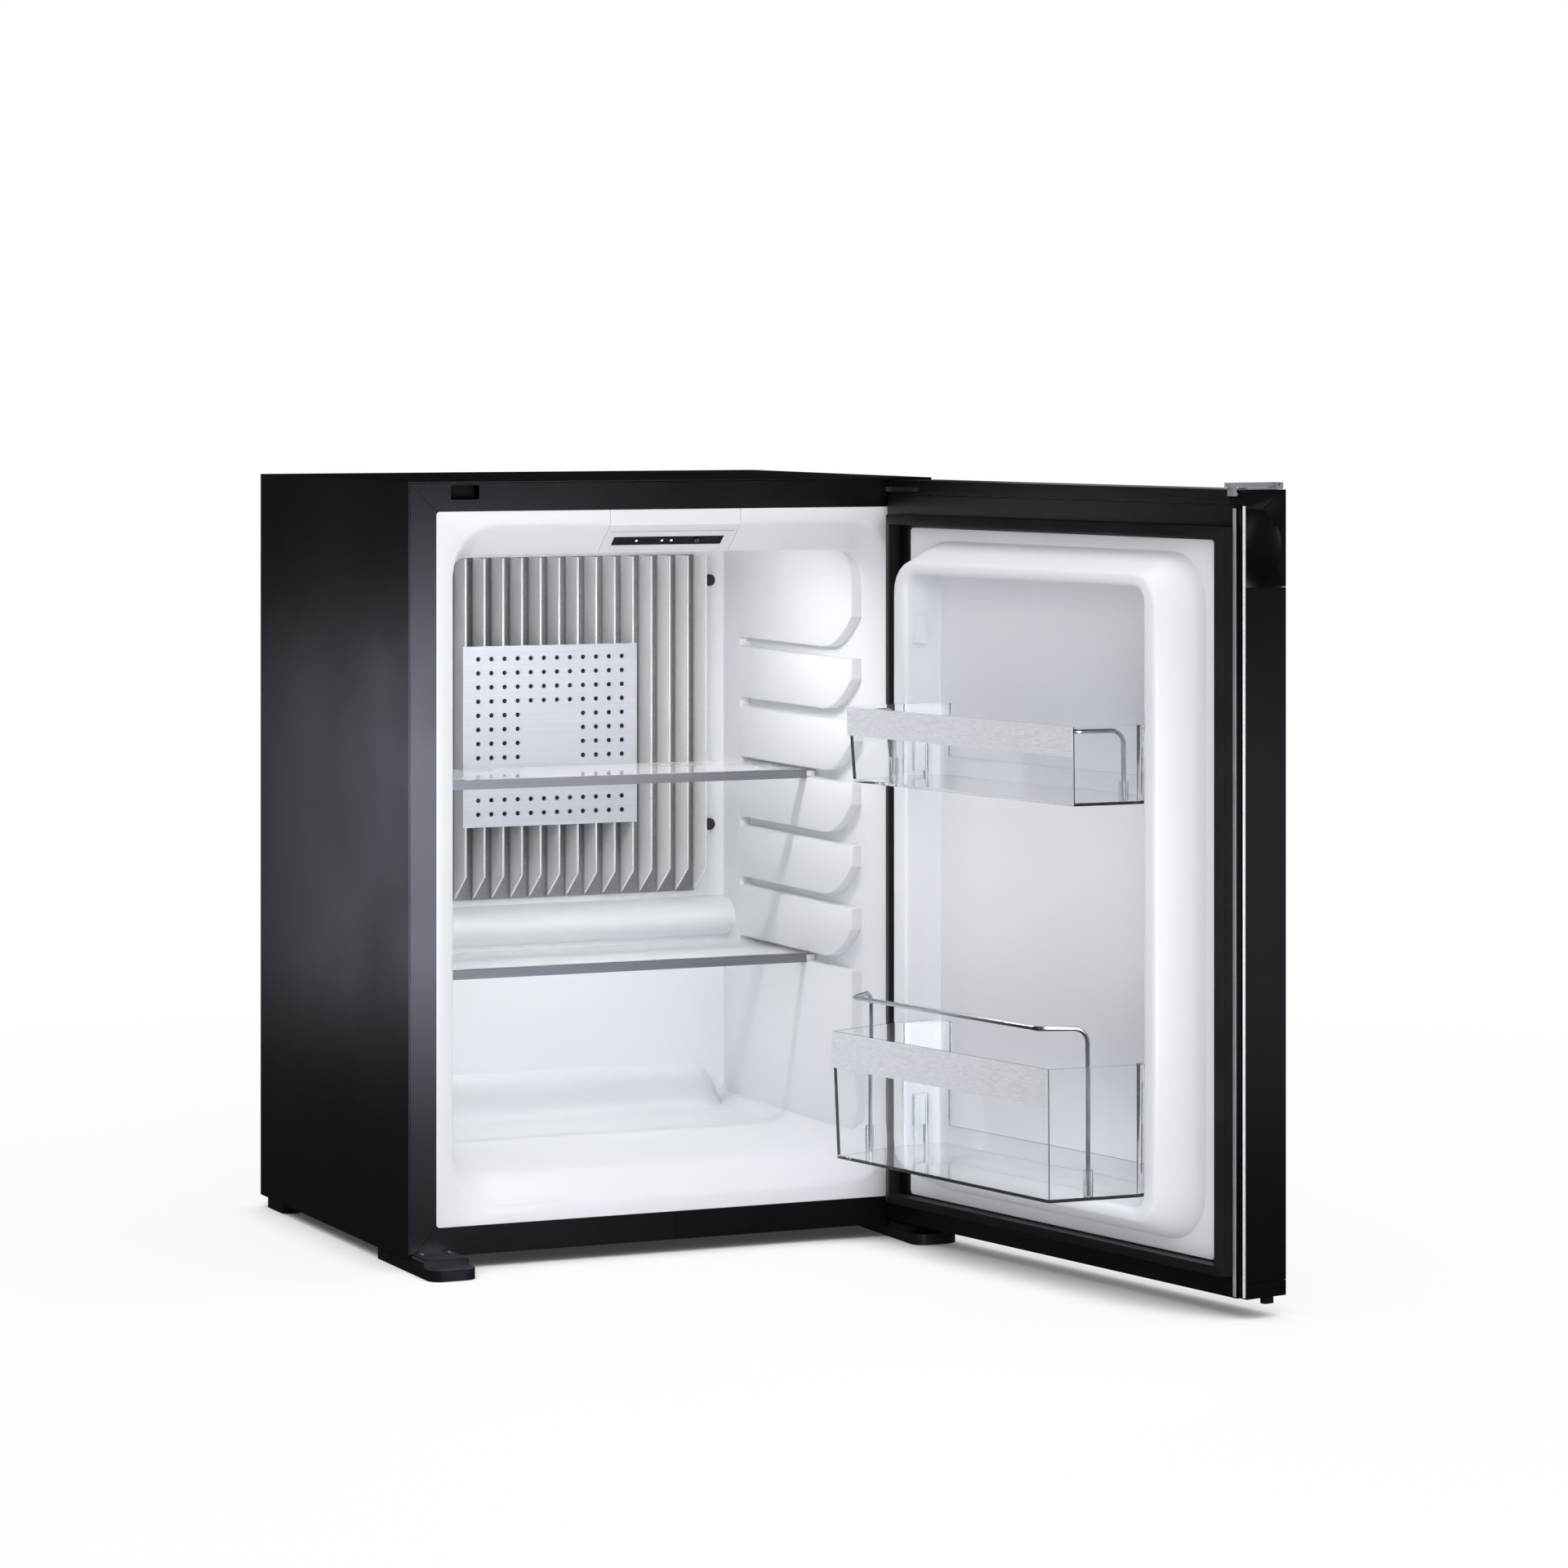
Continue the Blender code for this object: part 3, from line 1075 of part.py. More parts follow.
stub_right = EDGE_TRIM_LEFT + STUB_WIDTH
stub_outline = round_box(EDGE_TRIM_LEFT, stub_right, -STUB_FRONT, -STUB_BACK, STUB_CORNER, steps=2)
stub_mesh = prism_mesh("bottom_stub", stub_outline, "z", STUB_BOTTOM, DOOR_BOTTOM - FIT)
place("bottom_stub", stub_mesh, UNIT_BLACK, DOOR)


# Door liner: a flat plate that rises into a hollow rounded dyke around a flat recess
def dyke_ring(y, side, end, radius):
    """A ring set in from the liner plate's edge by one distance at the sides and one at the ends."""
    outline = round_box(
        PLATE_LEFT + side,
        PLATE_RIGHT - side,
        PLATE_BOTTOM + end,
        PLATE_TOP - end,
        radius,
    )
    return upright(outline, y)


crest_y = DOOR_IN + DYKE_HEIGHT
crest_out = DYKE_MARGIN + DYKE_SLOPE
crest_side = crest_out + DYKE_CREST_SIDE
crest_end = crest_out + DYKE_CREST_END
recess_x0 = PLATE_LEFT + crest_side


def dyke_face(wall):
    """Rings over the dyke from the recess wall to its outer foot, on a skin this far under the front."""
    soft = DYKE_SOFT - wall / 2
    side = crest_side - wall
    end = crest_end - wall
    top = crest_y - wall
    rings = []
    for angle in np.radians(np.linspace(0, 90, DYKE_STEPS)):
        inset = soft * (1 - math.cos(angle))
        y = top - soft * (1 - math.sin(angle))
        rings.append(dyke_ring(y, side - inset, end - inset, WELL_RADIUS + wall + inset))
    outer = crest_out + wall * SLOPE_WALL_SHARE
    for angle in np.radians(np.linspace(90, DYKE_SLOPE_ANGLE, DYKE_STEPS)):
        inset = soft * (1 - math.cos(angle))
        y = top - soft * (1 - math.sin(angle))
        rings.append(dyke_ring(y, outer + inset, outer + inset, DYKE_RADIUS - DYKE_SLOPE - inset))
    return rings


def well_ring(reach, rise, radius):
    """A ring near the foot of the recess wall: reach in from the wall, rise over the recess floor."""
    return dyke_ring(DOOR_IN + rise, crest_side + reach, crest_end + reach, radius)


near_floor = WELL_FILLET * FILLET_SHARE
front_rings = [
    well_ring(WELL_FILLET, 0.0, WELL_RADIUS - WELL_FILLET),
    well_ring(near_floor, near_floor, WELL_RADIUS),
    well_ring(0.0, WELL_FILLET, WELL_RADIUS),
]
foot_ring = dyke_ring(DOOR_IN, DYKE_MARGIN, DYKE_MARGIN, DYKE_RADIUS)
edge_ring = dyke_ring(DOOR_IN, 0.0, 0.0, PLATE_CORNER)
edge_back = dyke_ring(DOOR_BACKING, 0.0, 0.0, PLATE_CORNER)
under_foot = dyke_ring(DOOR_BACKING, DYKE_MARGIN + LINER_WALL, DYKE_MARGIN + LINER_WALL, DYKE_RADIUS)
back_side = crest_side - LINER_WALL
back_end = crest_end - LINER_WALL
wall_back = dyke_ring(DOOR_BACKING, back_side, back_end, WELL_RADIUS + LINER_WALL)
door_rings = front_rings + dyke_face(0.0) + [foot_ring, edge_ring, edge_back, under_foot]
door_rings += dyke_face(LINER_WALL)[::-1] + [wall_back]
door_liner = place("door_liner", loft_mesh("door_liner", door_rings), LINER_WHITE, DOOR, SMOOTH)
lug_y = DOOR_IN + LUG_BACK
for k, lug_top in enumerate((FREE_LUG_TOP, UPPER_LUG_TOP, LOWER_LUG_TOP)):
    for side in ("left", "right"):
        outline = box(recess_x0 - PAD_BITE, recess_x0 + LUG_PROUD, lug_y, lug_y + LUG_DEPTH)
        if side == "right":
            outline = [(2 * DOOR_MIDDLE - x, y) for x, y in outline]
        name = f"lug_{side}_{k + 1}"
        cut(door_liner, "UNION", name, prism_mesh(name, outline, "z", lug_top - LUG_HEIGHT, lug_top), DOOR)

# Door foam: a slab with a raised ring that fills the dyke
def foam_ring(y):
    return upright(round_box(panel_left, panel_right, bars_bottom, FLANGE_TOP, FOAM_CORNER), y)


foam_wall = LINER_WALL + FIT * 2
door_foam_rings = [foam_ring(DOOR_OUT + DOOR_PANEL + FIT), foam_ring(bar_back)]
foam_foot = DYKE_MARGIN + foam_wall
foam_side = crest_side - foam_wall
foam_end = crest_end - foam_wall
door_foam_rings.append(dyke_ring(bar_back, foam_foot, foam_foot, DYKE_RADIUS))
door_foam_rings += dyke_face(foam_wall)[::-1]
door_foam_rings.append(dyke_ring(bar_back, foam_side, foam_end, WELL_RADIUS + foam_wall))
place("door_foam", loft_mesh("door_foam", door_foam_rings), FOAM, DOOR)

# Gasket: a raised rim whose face slopes up to its inner lip, so that it turns clear of the frame
gasket_profile = (
    (0.0, DOOR_IN + FIT),
    (0.0, -GASKET_OUTER_GAP),
    (GASKET_WIDTH / 2, -GASKET_MIDDLE_GAP),
    (GASKET_WIDTH, -GASKET_LIP_GAP),
    (GASKET_WIDTH, DOOR_IN + FIT),
)
gasket_bm = bmesh.new()
gasket_rows = []
for inset, y in gasket_profile:
    outline = round_box(
        GASKET_SIDE + inset,
        CASE_WIDTH - GASKET_SIDE - inset,
        PLATE_BOTTOM - GASKET_UNDER_PLATE + inset,
        PLATE_TOP + GASKET_OVER_PLATE - inset,
        max(GASKET_CORNER - inset, FIT),
        steps=2,
    )
    gasket_rows.append([gasket_bm.verts.new(point) for point in upright(outline, y)])
for one, two in zip(gasket_rows, gasket_rows[1:] + gasket_rows[:1]):
    for k in range(len(one)):
        after = (k + 1) % len(one)
        gasket_bm.faces.new((one[k], one[after], two[after], two[k]))
place("door_gasket", closed_mesh("door_gasket", gasket_bm), RUBBER_BLACK, DOOR)

# Latch on the door's top corner: a lever between two cheeks, with a barbed tongue over the door gap
lever_x0 = LATCH_LEFT
lever_x1 = LATCH_LEFT + LATCH_WIDTH
base_x0 = lever_x0 - FIT - LATCH_CHEEK
base_x1 = lever_x1 + FIT + LATCH_CHEEK
base_z = DOOR_TOP + FIT
lever_z = base_z + LATCH_BASE + FIT
lever_top = lever_z + LATCH_PLATE
axis_y = -LATCH_AXIS_BACK
axis_z = lever_z + LATCH_PLATE / 2
base_outline = [
    (base_x0, base_z),
    (base_x1, base_z),
    (base_x1, lever_top),
    (base_x1 - LATCH_CHEEK, lever_top),
    (base_x1 - LATCH_CHEEK, base_z + LATCH_BASE),
    (base_x0 + LATCH_CHEEK, base_z + LATCH_BASE),
    (base_x0 + LATCH_CHEEK, lever_top),
    (base_x0, lever_top),
]
base_mesh = prism_mesh("latch_base", base_outline, "y", -LATCH_BASE_BACK, -LATCH_BASE_FRONT)
latch_base = place("latch_base", base_mesh, LATCH_GREY, DOOR)
cheek_cut = box(-LATCH_BASE_BACK + LATCH_CHEEK_LENGTH, 0.0, base_z + LATCH_BASE, lever_top + JOIN)
cheek_mesh = prism_mesh("cheek_cut", cheek_cut, "x", base_x0 - JOIN, base_x1 + JOIN)
cut(latch_base, "DIFFERENCE", "cheek_cut", cheek_mesh, DOOR)
tongue_back = -LATCH_TONGUE_FRONT - LATCH_TONGUE
tongue_low = DOOR_TOP - LATCH_TONGUE_DROP
lever_outline = [
    (-LATCH_TAIL, lever_z),
    (tongue_back, lever_z),
    (tongue_back, tongue_low + LATCH_NOSE_HEIGHT),
    (tongue_back - LATCH_NOSE, tongue_low + LATCH_NOSE_HEIGHT / 2),
    (tongue_back, tongue_low),
    (-LATCH_TONGUE_FRONT, tongue_low),
    (-LATCH_TONGUE_FRONT, lever_z),
    (-LATCH_FRONT, lever_z),
    (-LATCH_FRONT, lever_top),
    (-LATCH_TAIL, lever_top),
]
LATCH_ORIGIN = (LATCH_LEFT + LATCH_WIDTH / 2, axis_y, axis_z)
latch_from_door = tuple(np.array(LATCH_ORIGIN) - np.array(DOOR_ORIGIN))
LATCH = (empty("latch_axis", latch_from_door, DOOR[0]), LATCH_ORIGIN)
lever_mesh = prism_mesh("latch_lever", lever_outline, "x", lever_x0, lever_x1)
lever = place("latch_lever", lever_mesh, LATCH_GREY, LATCH)
lever_hole = disc(axis_y, axis_z, LATCH_PIN_RADIUS + FIT, SMALL_SIDES)
lever_bore = prism_mesh("lever_bore", lever_hole, "x", base_x0 - JOIN, base_x1 + JOIN)
cut(latch_base, "DIFFERENCE", "base_bore", lever_bore.copy(), DOOR)
cut(lever, "DIFFERENCE", "lever_bore", lever_bore, LATCH)
latch_pin_ring = disc(axis_y, axis_z, LATCH_PIN_RADIUS, SMALL_SIDES)
place("latch_pin", prism_mesh("latch_pin", latch_pin_ring, "x", base_x0, base_x1), STEEL, DOOR)


# Bins: clear trays hung on the liner's lugs, each with a front strip and a bent wire rail
def bin_outline(side, front, ear, inset):
    """Plan of a tray: a back part inside the recess, an ear over the dyke, a narrower front."""
    wall_x = recess_x0 + BIN_SIDE_GAP + inset
    crest = crest_y + FIT + inset
    back = DOOR_IN + BIN_BACK_GAP + inset
    half_plan = [
        (wall_x + BIN_BACK_CORNER, back),
        (wall_x, back + BIN_BACK_CORNER),
        (wall_x, crest),
        (min(ear + inset, wall_x - FIT), crest),
        (min(ear + inset, wall_x - FIT), crest_y + FIT + BIN_WALL + FIT * (1 + inset / BIN_WALL)),
        (side + inset, front - inset),
    ]
    mirrored = [(2 * DOOR_MIDDLE - x, y) for x, y in half_plan]
    return half_plan[::-1] + mirrored


def bin_ring(z, side, front, ear, inset):
    return [(x, y, z) for x, y in bin_outline(side, front, ear, inset)]


bin_sizes = {
    "upper": dict(
        low=UPPER_BIN_BOTTOM,
        top=UPPER_BIN_TOP,
        front=UPPER_BIN_FRONT,
        side=UPPER_BIN_SIDE,
        strip=UPPER_STRIP,
        leg=(UPPER_LEG_X, UPPER_LEG_Y),
        rail=(UPPER_RAIL_X, UPPER_RAIL_Y, UPPER_RAIL_TOP),
        socket=UPPER_SOCKET,
        lug=UPPER_LUG_TOP,
    ),
    "lower": dict(
        low=LOWER_BIN_BOTTOM,
        top=LOWER_BIN_TOP,
        front=LOWER_BIN_FRONT,
        side=LOWER_BIN_SIDE,
        strip=LOWER_STRIP,
        leg=(LOWER_LEG_X, LOWER_LEG_Y),
        rail=(LOWER_RAIL_X, LOWER_RAIL_Y, LOWER_RAIL_TOP),
        socket=LOWER_SOCKET,
        lug=LOWER_LUG_TOP,
    ),
}
for which, size in bin_sizes.items():
    low = size["low"]
    top = size["top"]
    bin_at = (DOOR_MIDDLE, DOOR_IN, low)
    bin_from_door = tuple(np.array(bin_at) - np.array(DOOR_ORIGIN))
    group = (empty(f"bin_{which}_axis", bin_from_door, DOOR[0]), bin_at)
    wall_front = size["front"] - STRIP_THICKNESS - FIT
    ear = recess_x0 - BIN_EAR
    rings = [
        bin_ring(low, size["side"] + BIN_TAPER, wall_front - BIN_TAPER, recess_x0, 0.0),
        bin_ring(top, size["side"], wall_front, ear, 0.0),
        bin_ring(top, size["side"], wall_front, ear, BIN_WALL),
        bin_ring(low + BIN_WALL, size["side"] + BIN_TAPER, wall_front - BIN_TAPER, recess_x0, BIN_WALL),
    ]
    name = f"bin_{which}"
    tray = place(name, loft_mesh(name, rings), PLASTIC_CLEAR, group)
    open_x0 = recess_x0 + BIN_SIDE_GAP + BIN_WALL + BIN_BACK_KEEP
    open_back = box(open_x0, 2 * DOOR_MIDDLE - open_x0, low + BIN_BACK_HEIGHT, top + JOIN)
    open_depth = BIN_BACK_GAP + BIN_WALL + JOIN
    open_mesh = prism_mesh(f"open_back_{which}", open_back, "y", DOOR_IN, DOOR_IN + open_depth)
    cut(tray, "DIFFERENCE", f"open_back_{which}", open_mesh, group)
    leg_x, leg_y = size["leg"]
    bore_radius = WIRE_RADIUS + FIT
    pocket_top = size["lug"] + FIT
    channel_x = recess_x0 + LUG_PROUD + FIT
    for side in ("left", "right"):
        turn = side == "right"

        def mirrored(outline):
            return [(2 * DOOR_MIDDLE - x, y) for x, y in outline] if turn else outline

        boss = mirrored(box(
            recess_x0 + FIT + PAD_BITE,
            channel_x + POCKET_WALL,
            lug_y - FIT - POCKET_WALL,
            lug_y + LUG_DEPTH + FIT + POCKET_WALL,
        ))
        part = f"pocket_{which}_{side}"
        boss_mesh = prism_mesh(part, boss, "z", low + BIN_WALL / 2, pocket_top + POCKET_WALL)
        cut(tray, "UNION", part, boss_mesh, group)
        post = mirrored(disc(leg_x, leg_y, bore_radius + SOCKET_WALL, SMALL_SIDES))
        part = f"socket_{which}_{side}"
        post_mesh = prism_mesh(part, post, "z", low + BIN_WALL / 2, low + size["socket"])
        cut(tray, "UNION", part, post_mesh, group)
        channel = mirrored(box(recess_x0 - JOIN, channel_x, lug_y - FIT, lug_y + LUG_DEPTH + FIT))
        part = f"channel_{which}_{side}"
        cut(tray, "DIFFERENCE", part, prism_mesh(part, channel, "z", low - JOIN, pocket_top), group)
        bore = mirrored(disc(leg_x, leg_y, bore_radius, SMALL_SIDES))
        part = f"leg_bore_{which}_{side}"
        bore_mesh = prism_mesh(part, bore, "z", low + BIN_WALL, low + size["socket"] + JOIN)
        cut(tray, "DIFFERENCE", part, bore_mesh, group)
    strip_outline = box(size["side"], 2 * DOOR_MIDDLE - size["side"], top - size["strip"], top)
    strip_back = size["front"] - STRIP_THICKNESS
    strip_mesh = prism_mesh(f"{name}_strip", strip_outline, "y", strip_back, size["front"])
    place(f"{name}_strip", strip_mesh, BRUSHED, group)
    rail_x, rail_y, rail_top = size["rail"]
    far_leg = 2 * DOOR_MIDDLE - leg_x
    far_rail = 2 * DOOR_MIDDLE - rail_x
    leg_low = low + BIN_WALL + FIT
    rail_path = [
        (leg_x, leg_y, leg_low),
        (leg_x, leg_y, rail_top),
        (rail_x, rail_y, rail_top),
        (far_rail, rail_y, rail_top),
        (far_leg, leg_y, rail_top),
        (far_leg, leg_y, leg_low),
    ]
    wire(f"{name}_rail", rail_path, [WIRE_BEND] * 4, WIRE_RADIUS, CHROME, group)


# Cooling unit at the back: a gas absorption circuit of steel tube, hung on the back panel
def tube_between(name, radius, start, end, look, sides=ROUND_SIDES):
    """A straight round can along x or z, given by the centres of its two ends."""
    along = "x" if start[0] != end[0] else "z"
    if along == "x":
        mesh = prism_mesh(name, disc(start[1], start[2], radius, sides), "x", start[0], end[0])
    else:
        mesh = prism_mesh(name, disc(start[0], start[1], radius, sides), "z", start[2], end[2])
    return place(name, mesh, look, CABINET, SMOOTH)


vessel_y = UNIT_FACE + VESSEL_RADIUS
vessel_right = VESSEL_LEFT + VESSEL_LENGTH
tube_between(
    "absorber_vessel",
    VESSEL_RADIUS,
    (VESSEL_LEFT, vessel_y, VESSEL_HEIGHT),
    (vessel_right, vessel_y, VESSEL_HEIGHT),
    UNIT_BLACK,
)
boiler_y = UNIT_FACE + BOILER_RADIUS
tube_between(
    "boiler_can",
    BOILER_RADIUS,
    (BOILER_X, boiler_y, BOILER_BOTTOM),
    (BOILER_X, boiler_y, BOILER_TOP),
    UNIT_BLACK,
)
coil_y = UNIT_FACE + COIL_RADIUS
coil_low = VESSEL_HEIGHT + VESSEL_RADIUS + FIT
coil_path = [(COIL_LEFT + COIL_PITCH, coil_y + COIL_RADIUS, coil_low)]
coil_path.append((COIL_LEFT + COIL_PITCH, coil_y + COIL_RADIUS, coil_low + COIL_PITCH))
for row in range(COIL_ROWS):
    z = coil_low + COIL_PITCH * (row + 1)
    near, far = (COIL_RIGHT, COIL_LEFT) if row % 2 else (COIL_LEFT, COIL_RIGHT)
    if row:
        coil_path.append((near, coil_y, z))
    coil_path.append((far, coil_y, z))
coil_bends = [COIL_BEND] * (len(coil_path) - 2)
wire("absorber_coil", coil_path, coil_bends, COIL_RADIUS, UNIT_BLACK, CABINET)
condenser_y = UNIT_FACE + CONDENSER_PLATE_WIDTH / 2
condenser_path = [
    (BOILER_X, boiler_y, BOILER_TOP + FIT),
    (BOILER_X, condenser_y, CONDENSER_HEIGHT),
    (COIL_LEFT, condenser_y, CONDENSER_HEIGHT),
]
wire("condenser_tube", condenser_path, [CONDENSER_BEND], CONDENSER_RADIUS, UNIT_BLACK, CABINET)
rack = [(COIL_LEFT + CONDENSER_PLATE_PITCH, UNIT_FACE)]
for k in range(CONDENSER_PLATE_COUNT):
    low = COIL_LEFT + CONDENSER_PLATE_PITCH * (k + 1)
    high = low + CONDENSER_PLATE
    if k:
        rack.append((low, UNIT_FACE + CONDENSER_PLATE))
    rack += [(low, UNIT_FACE + CONDENSER_PLATE_WIDTH), (high, UNIT_FACE + CONDENSER_PLATE_WIDTH)]
    if k < CONDENSER_PLATE_COUNT - 1:
        rack.append((high, UNIT_FACE + CONDENSER_PLATE))
rack.append((rack[-1][0], UNIT_FACE))
rack_half = CONDENSER_PLATE_WIDTH / 2
rack_mesh = prism_mesh(
    "condenser_plates",
    rack,
    "z",
    CONDENSER_HEIGHT - rack_half,
    CONDENSER_HEIGHT + rack_half,
)
plates = place("condenser_plates", rack_mesh, UNIT_BLACK, CABINET)
rack_bore = disc(condenser_y, CONDENSER_HEIGHT, CONDENSER_RADIUS + FIT)
bore_mesh = prism_mesh("condenser_bore", rack_bore, "x", COIL_LEFT, BOILER_X)
cut(plates, "DIFFERENCE", "condenser_bore", bore_mesh, CABINET)
box_right = BOX_LEFT + BOX_WIDTH
box_top = BOX_BOTTOM + BOX_HEIGHT
box_outline = round_box(BOX_LEFT, box_right, BOX_BOTTOM, box_top, BOX_CORNER, steps=4)
box_mesh = prism_mesh("electrical_box", box_outline, "y", UNIT_FACE, UNIT_FACE + UNIT_DEPTH - FIT)
place("electrical_box", box_mesh, RUBBER_BLACK, CABINET)
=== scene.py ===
import math

import bmesh
import bpy
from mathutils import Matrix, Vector


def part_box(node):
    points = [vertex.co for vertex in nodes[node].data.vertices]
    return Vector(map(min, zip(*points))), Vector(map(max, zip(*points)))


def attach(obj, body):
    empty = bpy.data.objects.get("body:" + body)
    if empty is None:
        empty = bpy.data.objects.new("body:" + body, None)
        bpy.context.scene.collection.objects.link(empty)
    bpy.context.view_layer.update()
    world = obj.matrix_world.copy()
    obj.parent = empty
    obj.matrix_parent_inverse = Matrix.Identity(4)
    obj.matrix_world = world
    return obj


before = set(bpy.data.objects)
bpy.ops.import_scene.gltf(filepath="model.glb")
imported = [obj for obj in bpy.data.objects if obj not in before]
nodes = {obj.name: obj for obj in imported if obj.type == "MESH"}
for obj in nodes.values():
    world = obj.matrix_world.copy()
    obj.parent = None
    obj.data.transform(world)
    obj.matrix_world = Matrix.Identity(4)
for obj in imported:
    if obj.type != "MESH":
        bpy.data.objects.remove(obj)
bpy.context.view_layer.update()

# Cabinet millimetres to world metres, and door millimetres, drawn shut, to the open door
MM = 0.001
SHIFT_X = -235.754
SHIFT_Y = 17.231
FOOT_DROP = 8.0
PIN_X = 379.5
PIN_Y = -23.5
DOOR_ANGLE = math.radians(100.46)
CASE_WIDTH = 402.0
DOOR_LOW = 5.7
DOOR_INNER_FACE = -11.0
BRACKET_TOP = 4.6
BACK_FACE = 320.5


def at(x, y, z):
    return Vector(((x + SHIFT_X) * MM, (y + SHIFT_Y) * MM, (z + FOOT_DROP) * MM))


def at_door(x, y, z):
    away_x = x - PIN_X
    away_y = y - PIN_Y
    turned_x = PIN_X + away_x * math.cos(DOOR_ANGLE) - away_y * math.sin(DOOR_ANGLE)
    turned_y = PIN_Y + away_x * math.sin(DOOR_ANGLE) + away_y * math.cos(DOOR_ANGLE)
    return at(turned_x, turned_y, z)


# Camera
camera_data = bpy.data.cameras.new("camera")
camera = bpy.data.objects.new("camera", camera_data)
bpy.context.scene.collection.objects.link(camera)
camera.location = (-1.47481, -3.35986, 0.62216)
camera.rotation_euler = (math.radians(90), 0, math.radians(-24.289))
camera_data.lens = 119.07
camera_data.sensor_width = 36.0
camera_data.shift_y = -0.26195
camera_data.clip_end = 50.0
bpy.context.scene.camera = camera


# Materials
class Nodes:
    """A material's node tree, with short names for the nodes in use."""

    def __init__(self, name):
        self.material = bpy.data.materials.new(name)
        self.material.use_nodes = True
        self.tree = self.material.node_tree
        self.shader = self.tree.nodes["Principled BSDF"]
        self.output = self.tree.nodes["Material Output"]
        self.place = self.tree.nodes.new("ShaderNodeTexCoord").outputs["Object"]

    def add(self, kind):
        return self.tree.nodes.new(kind)

    def join(self, start, end):
        self.tree.links.new(start, end)

    def set(self, **values):
        for name, value in values.items():
            self.shader.inputs[name.replace("_", " ")].default_value = value

    def stretched(self, scale):
        node = self.add("ShaderNodeMapping")
        node.inputs["Scale"].default_value = scale
        self.join(self.place, node.inputs["Vector"])
        return node.outputs["Vector"]

    def noise(self, scale, detail=2.0, rough=0.5, stretch=None):
        node = self.add("ShaderNodeTexNoise")
        node.inputs["Scale"].default_value = scale
        node.inputs["Detail"].default_value = detail
        node.inputs["Roughness"].default_value = rough
        self.join(self.stretched(stretch) if stretch else self.place, node.inputs["Vector"])
        return node.outputs["Fac"]

    def ramp(self, value, low, high, start=0.3, end=0.7):
        """A colour that goes from low to high as the value goes from start to end."""
        node = self.add("ShaderNodeValToRGB")
        node.color_ramp.elements[0].position = start
        node.color_ramp.elements[1].position = end
        node.color_ramp.elements[0].color = (*low, 1)
        node.color_ramp.elements[1].color = (*high, 1)
        self.join(value, node.inputs["Fac"])
        return node.outputs["Color"]

    def span(self, value, low, high, start=0.3, end=0.7):
        """A number that goes from low to high as the value goes from start to end."""
        node = self.add("ShaderNodeMapRange")
        node.inputs["From Min"].default_value = start
        node.inputs["From Max"].default_value = end
        node.inputs["To Min"].default_value = low
        node.inputs["To Max"].default_value = high
        self.join(value, node.inputs["Value"])
        return node.outputs["Result"]

    def bump(self, height, strength, distance):
        node = self.add("ShaderNodeBump")
        node.inputs["Strength"].default_value = strength
        node.inputs["Distance"].default_value = distance
        self.join(height, node.inputs["Height"])
        self.join(node.outputs["Normal"], self.shader.inputs["Normal"])


def paint(name, low, high, rough, grain, depth, patch=9.0, **values):
    """An opaque painted or moulded surface: patchy tone, patchy gloss and a fine grain."""
    m = Nodes(name)
    m.set(**values)
    tone = m.noise(patch, 4.0, 0.55)
    m.join(m.ramp(tone, low, high), m.shader.inputs["Base Color"])
    m.join(m.span(tone, rough[0], rough[1]), m.shader.inputs["Roughness"])
    m.bump(m.noise(grain, 3.0, 0.6), 0.6, depth)
    return m.material


def metal(name, low, high, rough, streak, depth, metallic):
    """Metal with a grain of fine streaks, long along the axis where the stretch is small."""
    m = Nodes(name)
    m.set(Metallic=metallic)
    lines = m.noise(1.0, 6.0, 0.65, streak)
    m.join(m.ramp(lines, low, high), m.shader.inputs["Base Color"])
    m.join(m.span(lines, rough[0], rough[1]), m.shader.inputs["Roughness"])
    m.bump(lines, 0.5, depth)
    return m.material


def clear(name, tint, rough, ior, waves, depth, through):
    """Clear glass or plastic with faint smears and a slightly wavy face, which lets light through."""
    m = Nodes(name)
    m.set(Transmission_Weight=through, IOR=ior)
    rays = m.add("ShaderNodeLightPath")
    lit = m.add("ShaderNodeBsdfTransparent")
    lit.inputs["Color"].default_value = (*(c * 0.97 for c in tint), 1)
    mixed = m.add("ShaderNodeMixShader")
    m.join(rays.outputs["Is Shadow Ray"], mixed.inputs[0])
    m.join(m.shader.outputs[0], mixed.inputs[1])
    m.join(lit.outputs[0], mixed.inputs[2])
    m.join(mixed.outputs[0], m.output.inputs["Surface"])
    smear = m.noise(14.0, 4.0, 0.6)
    m.join(m.ramp(smear, tint, tuple(min(1.0, c * 1.02) for c in tint)), m.shader.inputs["Base Color"])
    m.join(m.span(smear, rough[0], rough[1]), m.shader.inputs["Roughness"])
    m.bump(m.noise(waves, 2.0), 0.3, depth)
    return m.material


def glowing(name, colour, strength, grain):
    m = Nodes(name)
    m.set(Base_Color=(*colour, 1), Roughness=0.4)
    m.shader.inputs["Emission Strength"].default_value = strength
    dots = m.noise(grain, 3.0)
    m.join(m.ramp(dots, tuple(c * 0.92 for c in colour), colour), m.shader.inputs["Emission Color"])
    m.bump(dots, 0.3, 0.0002)
    return m.material


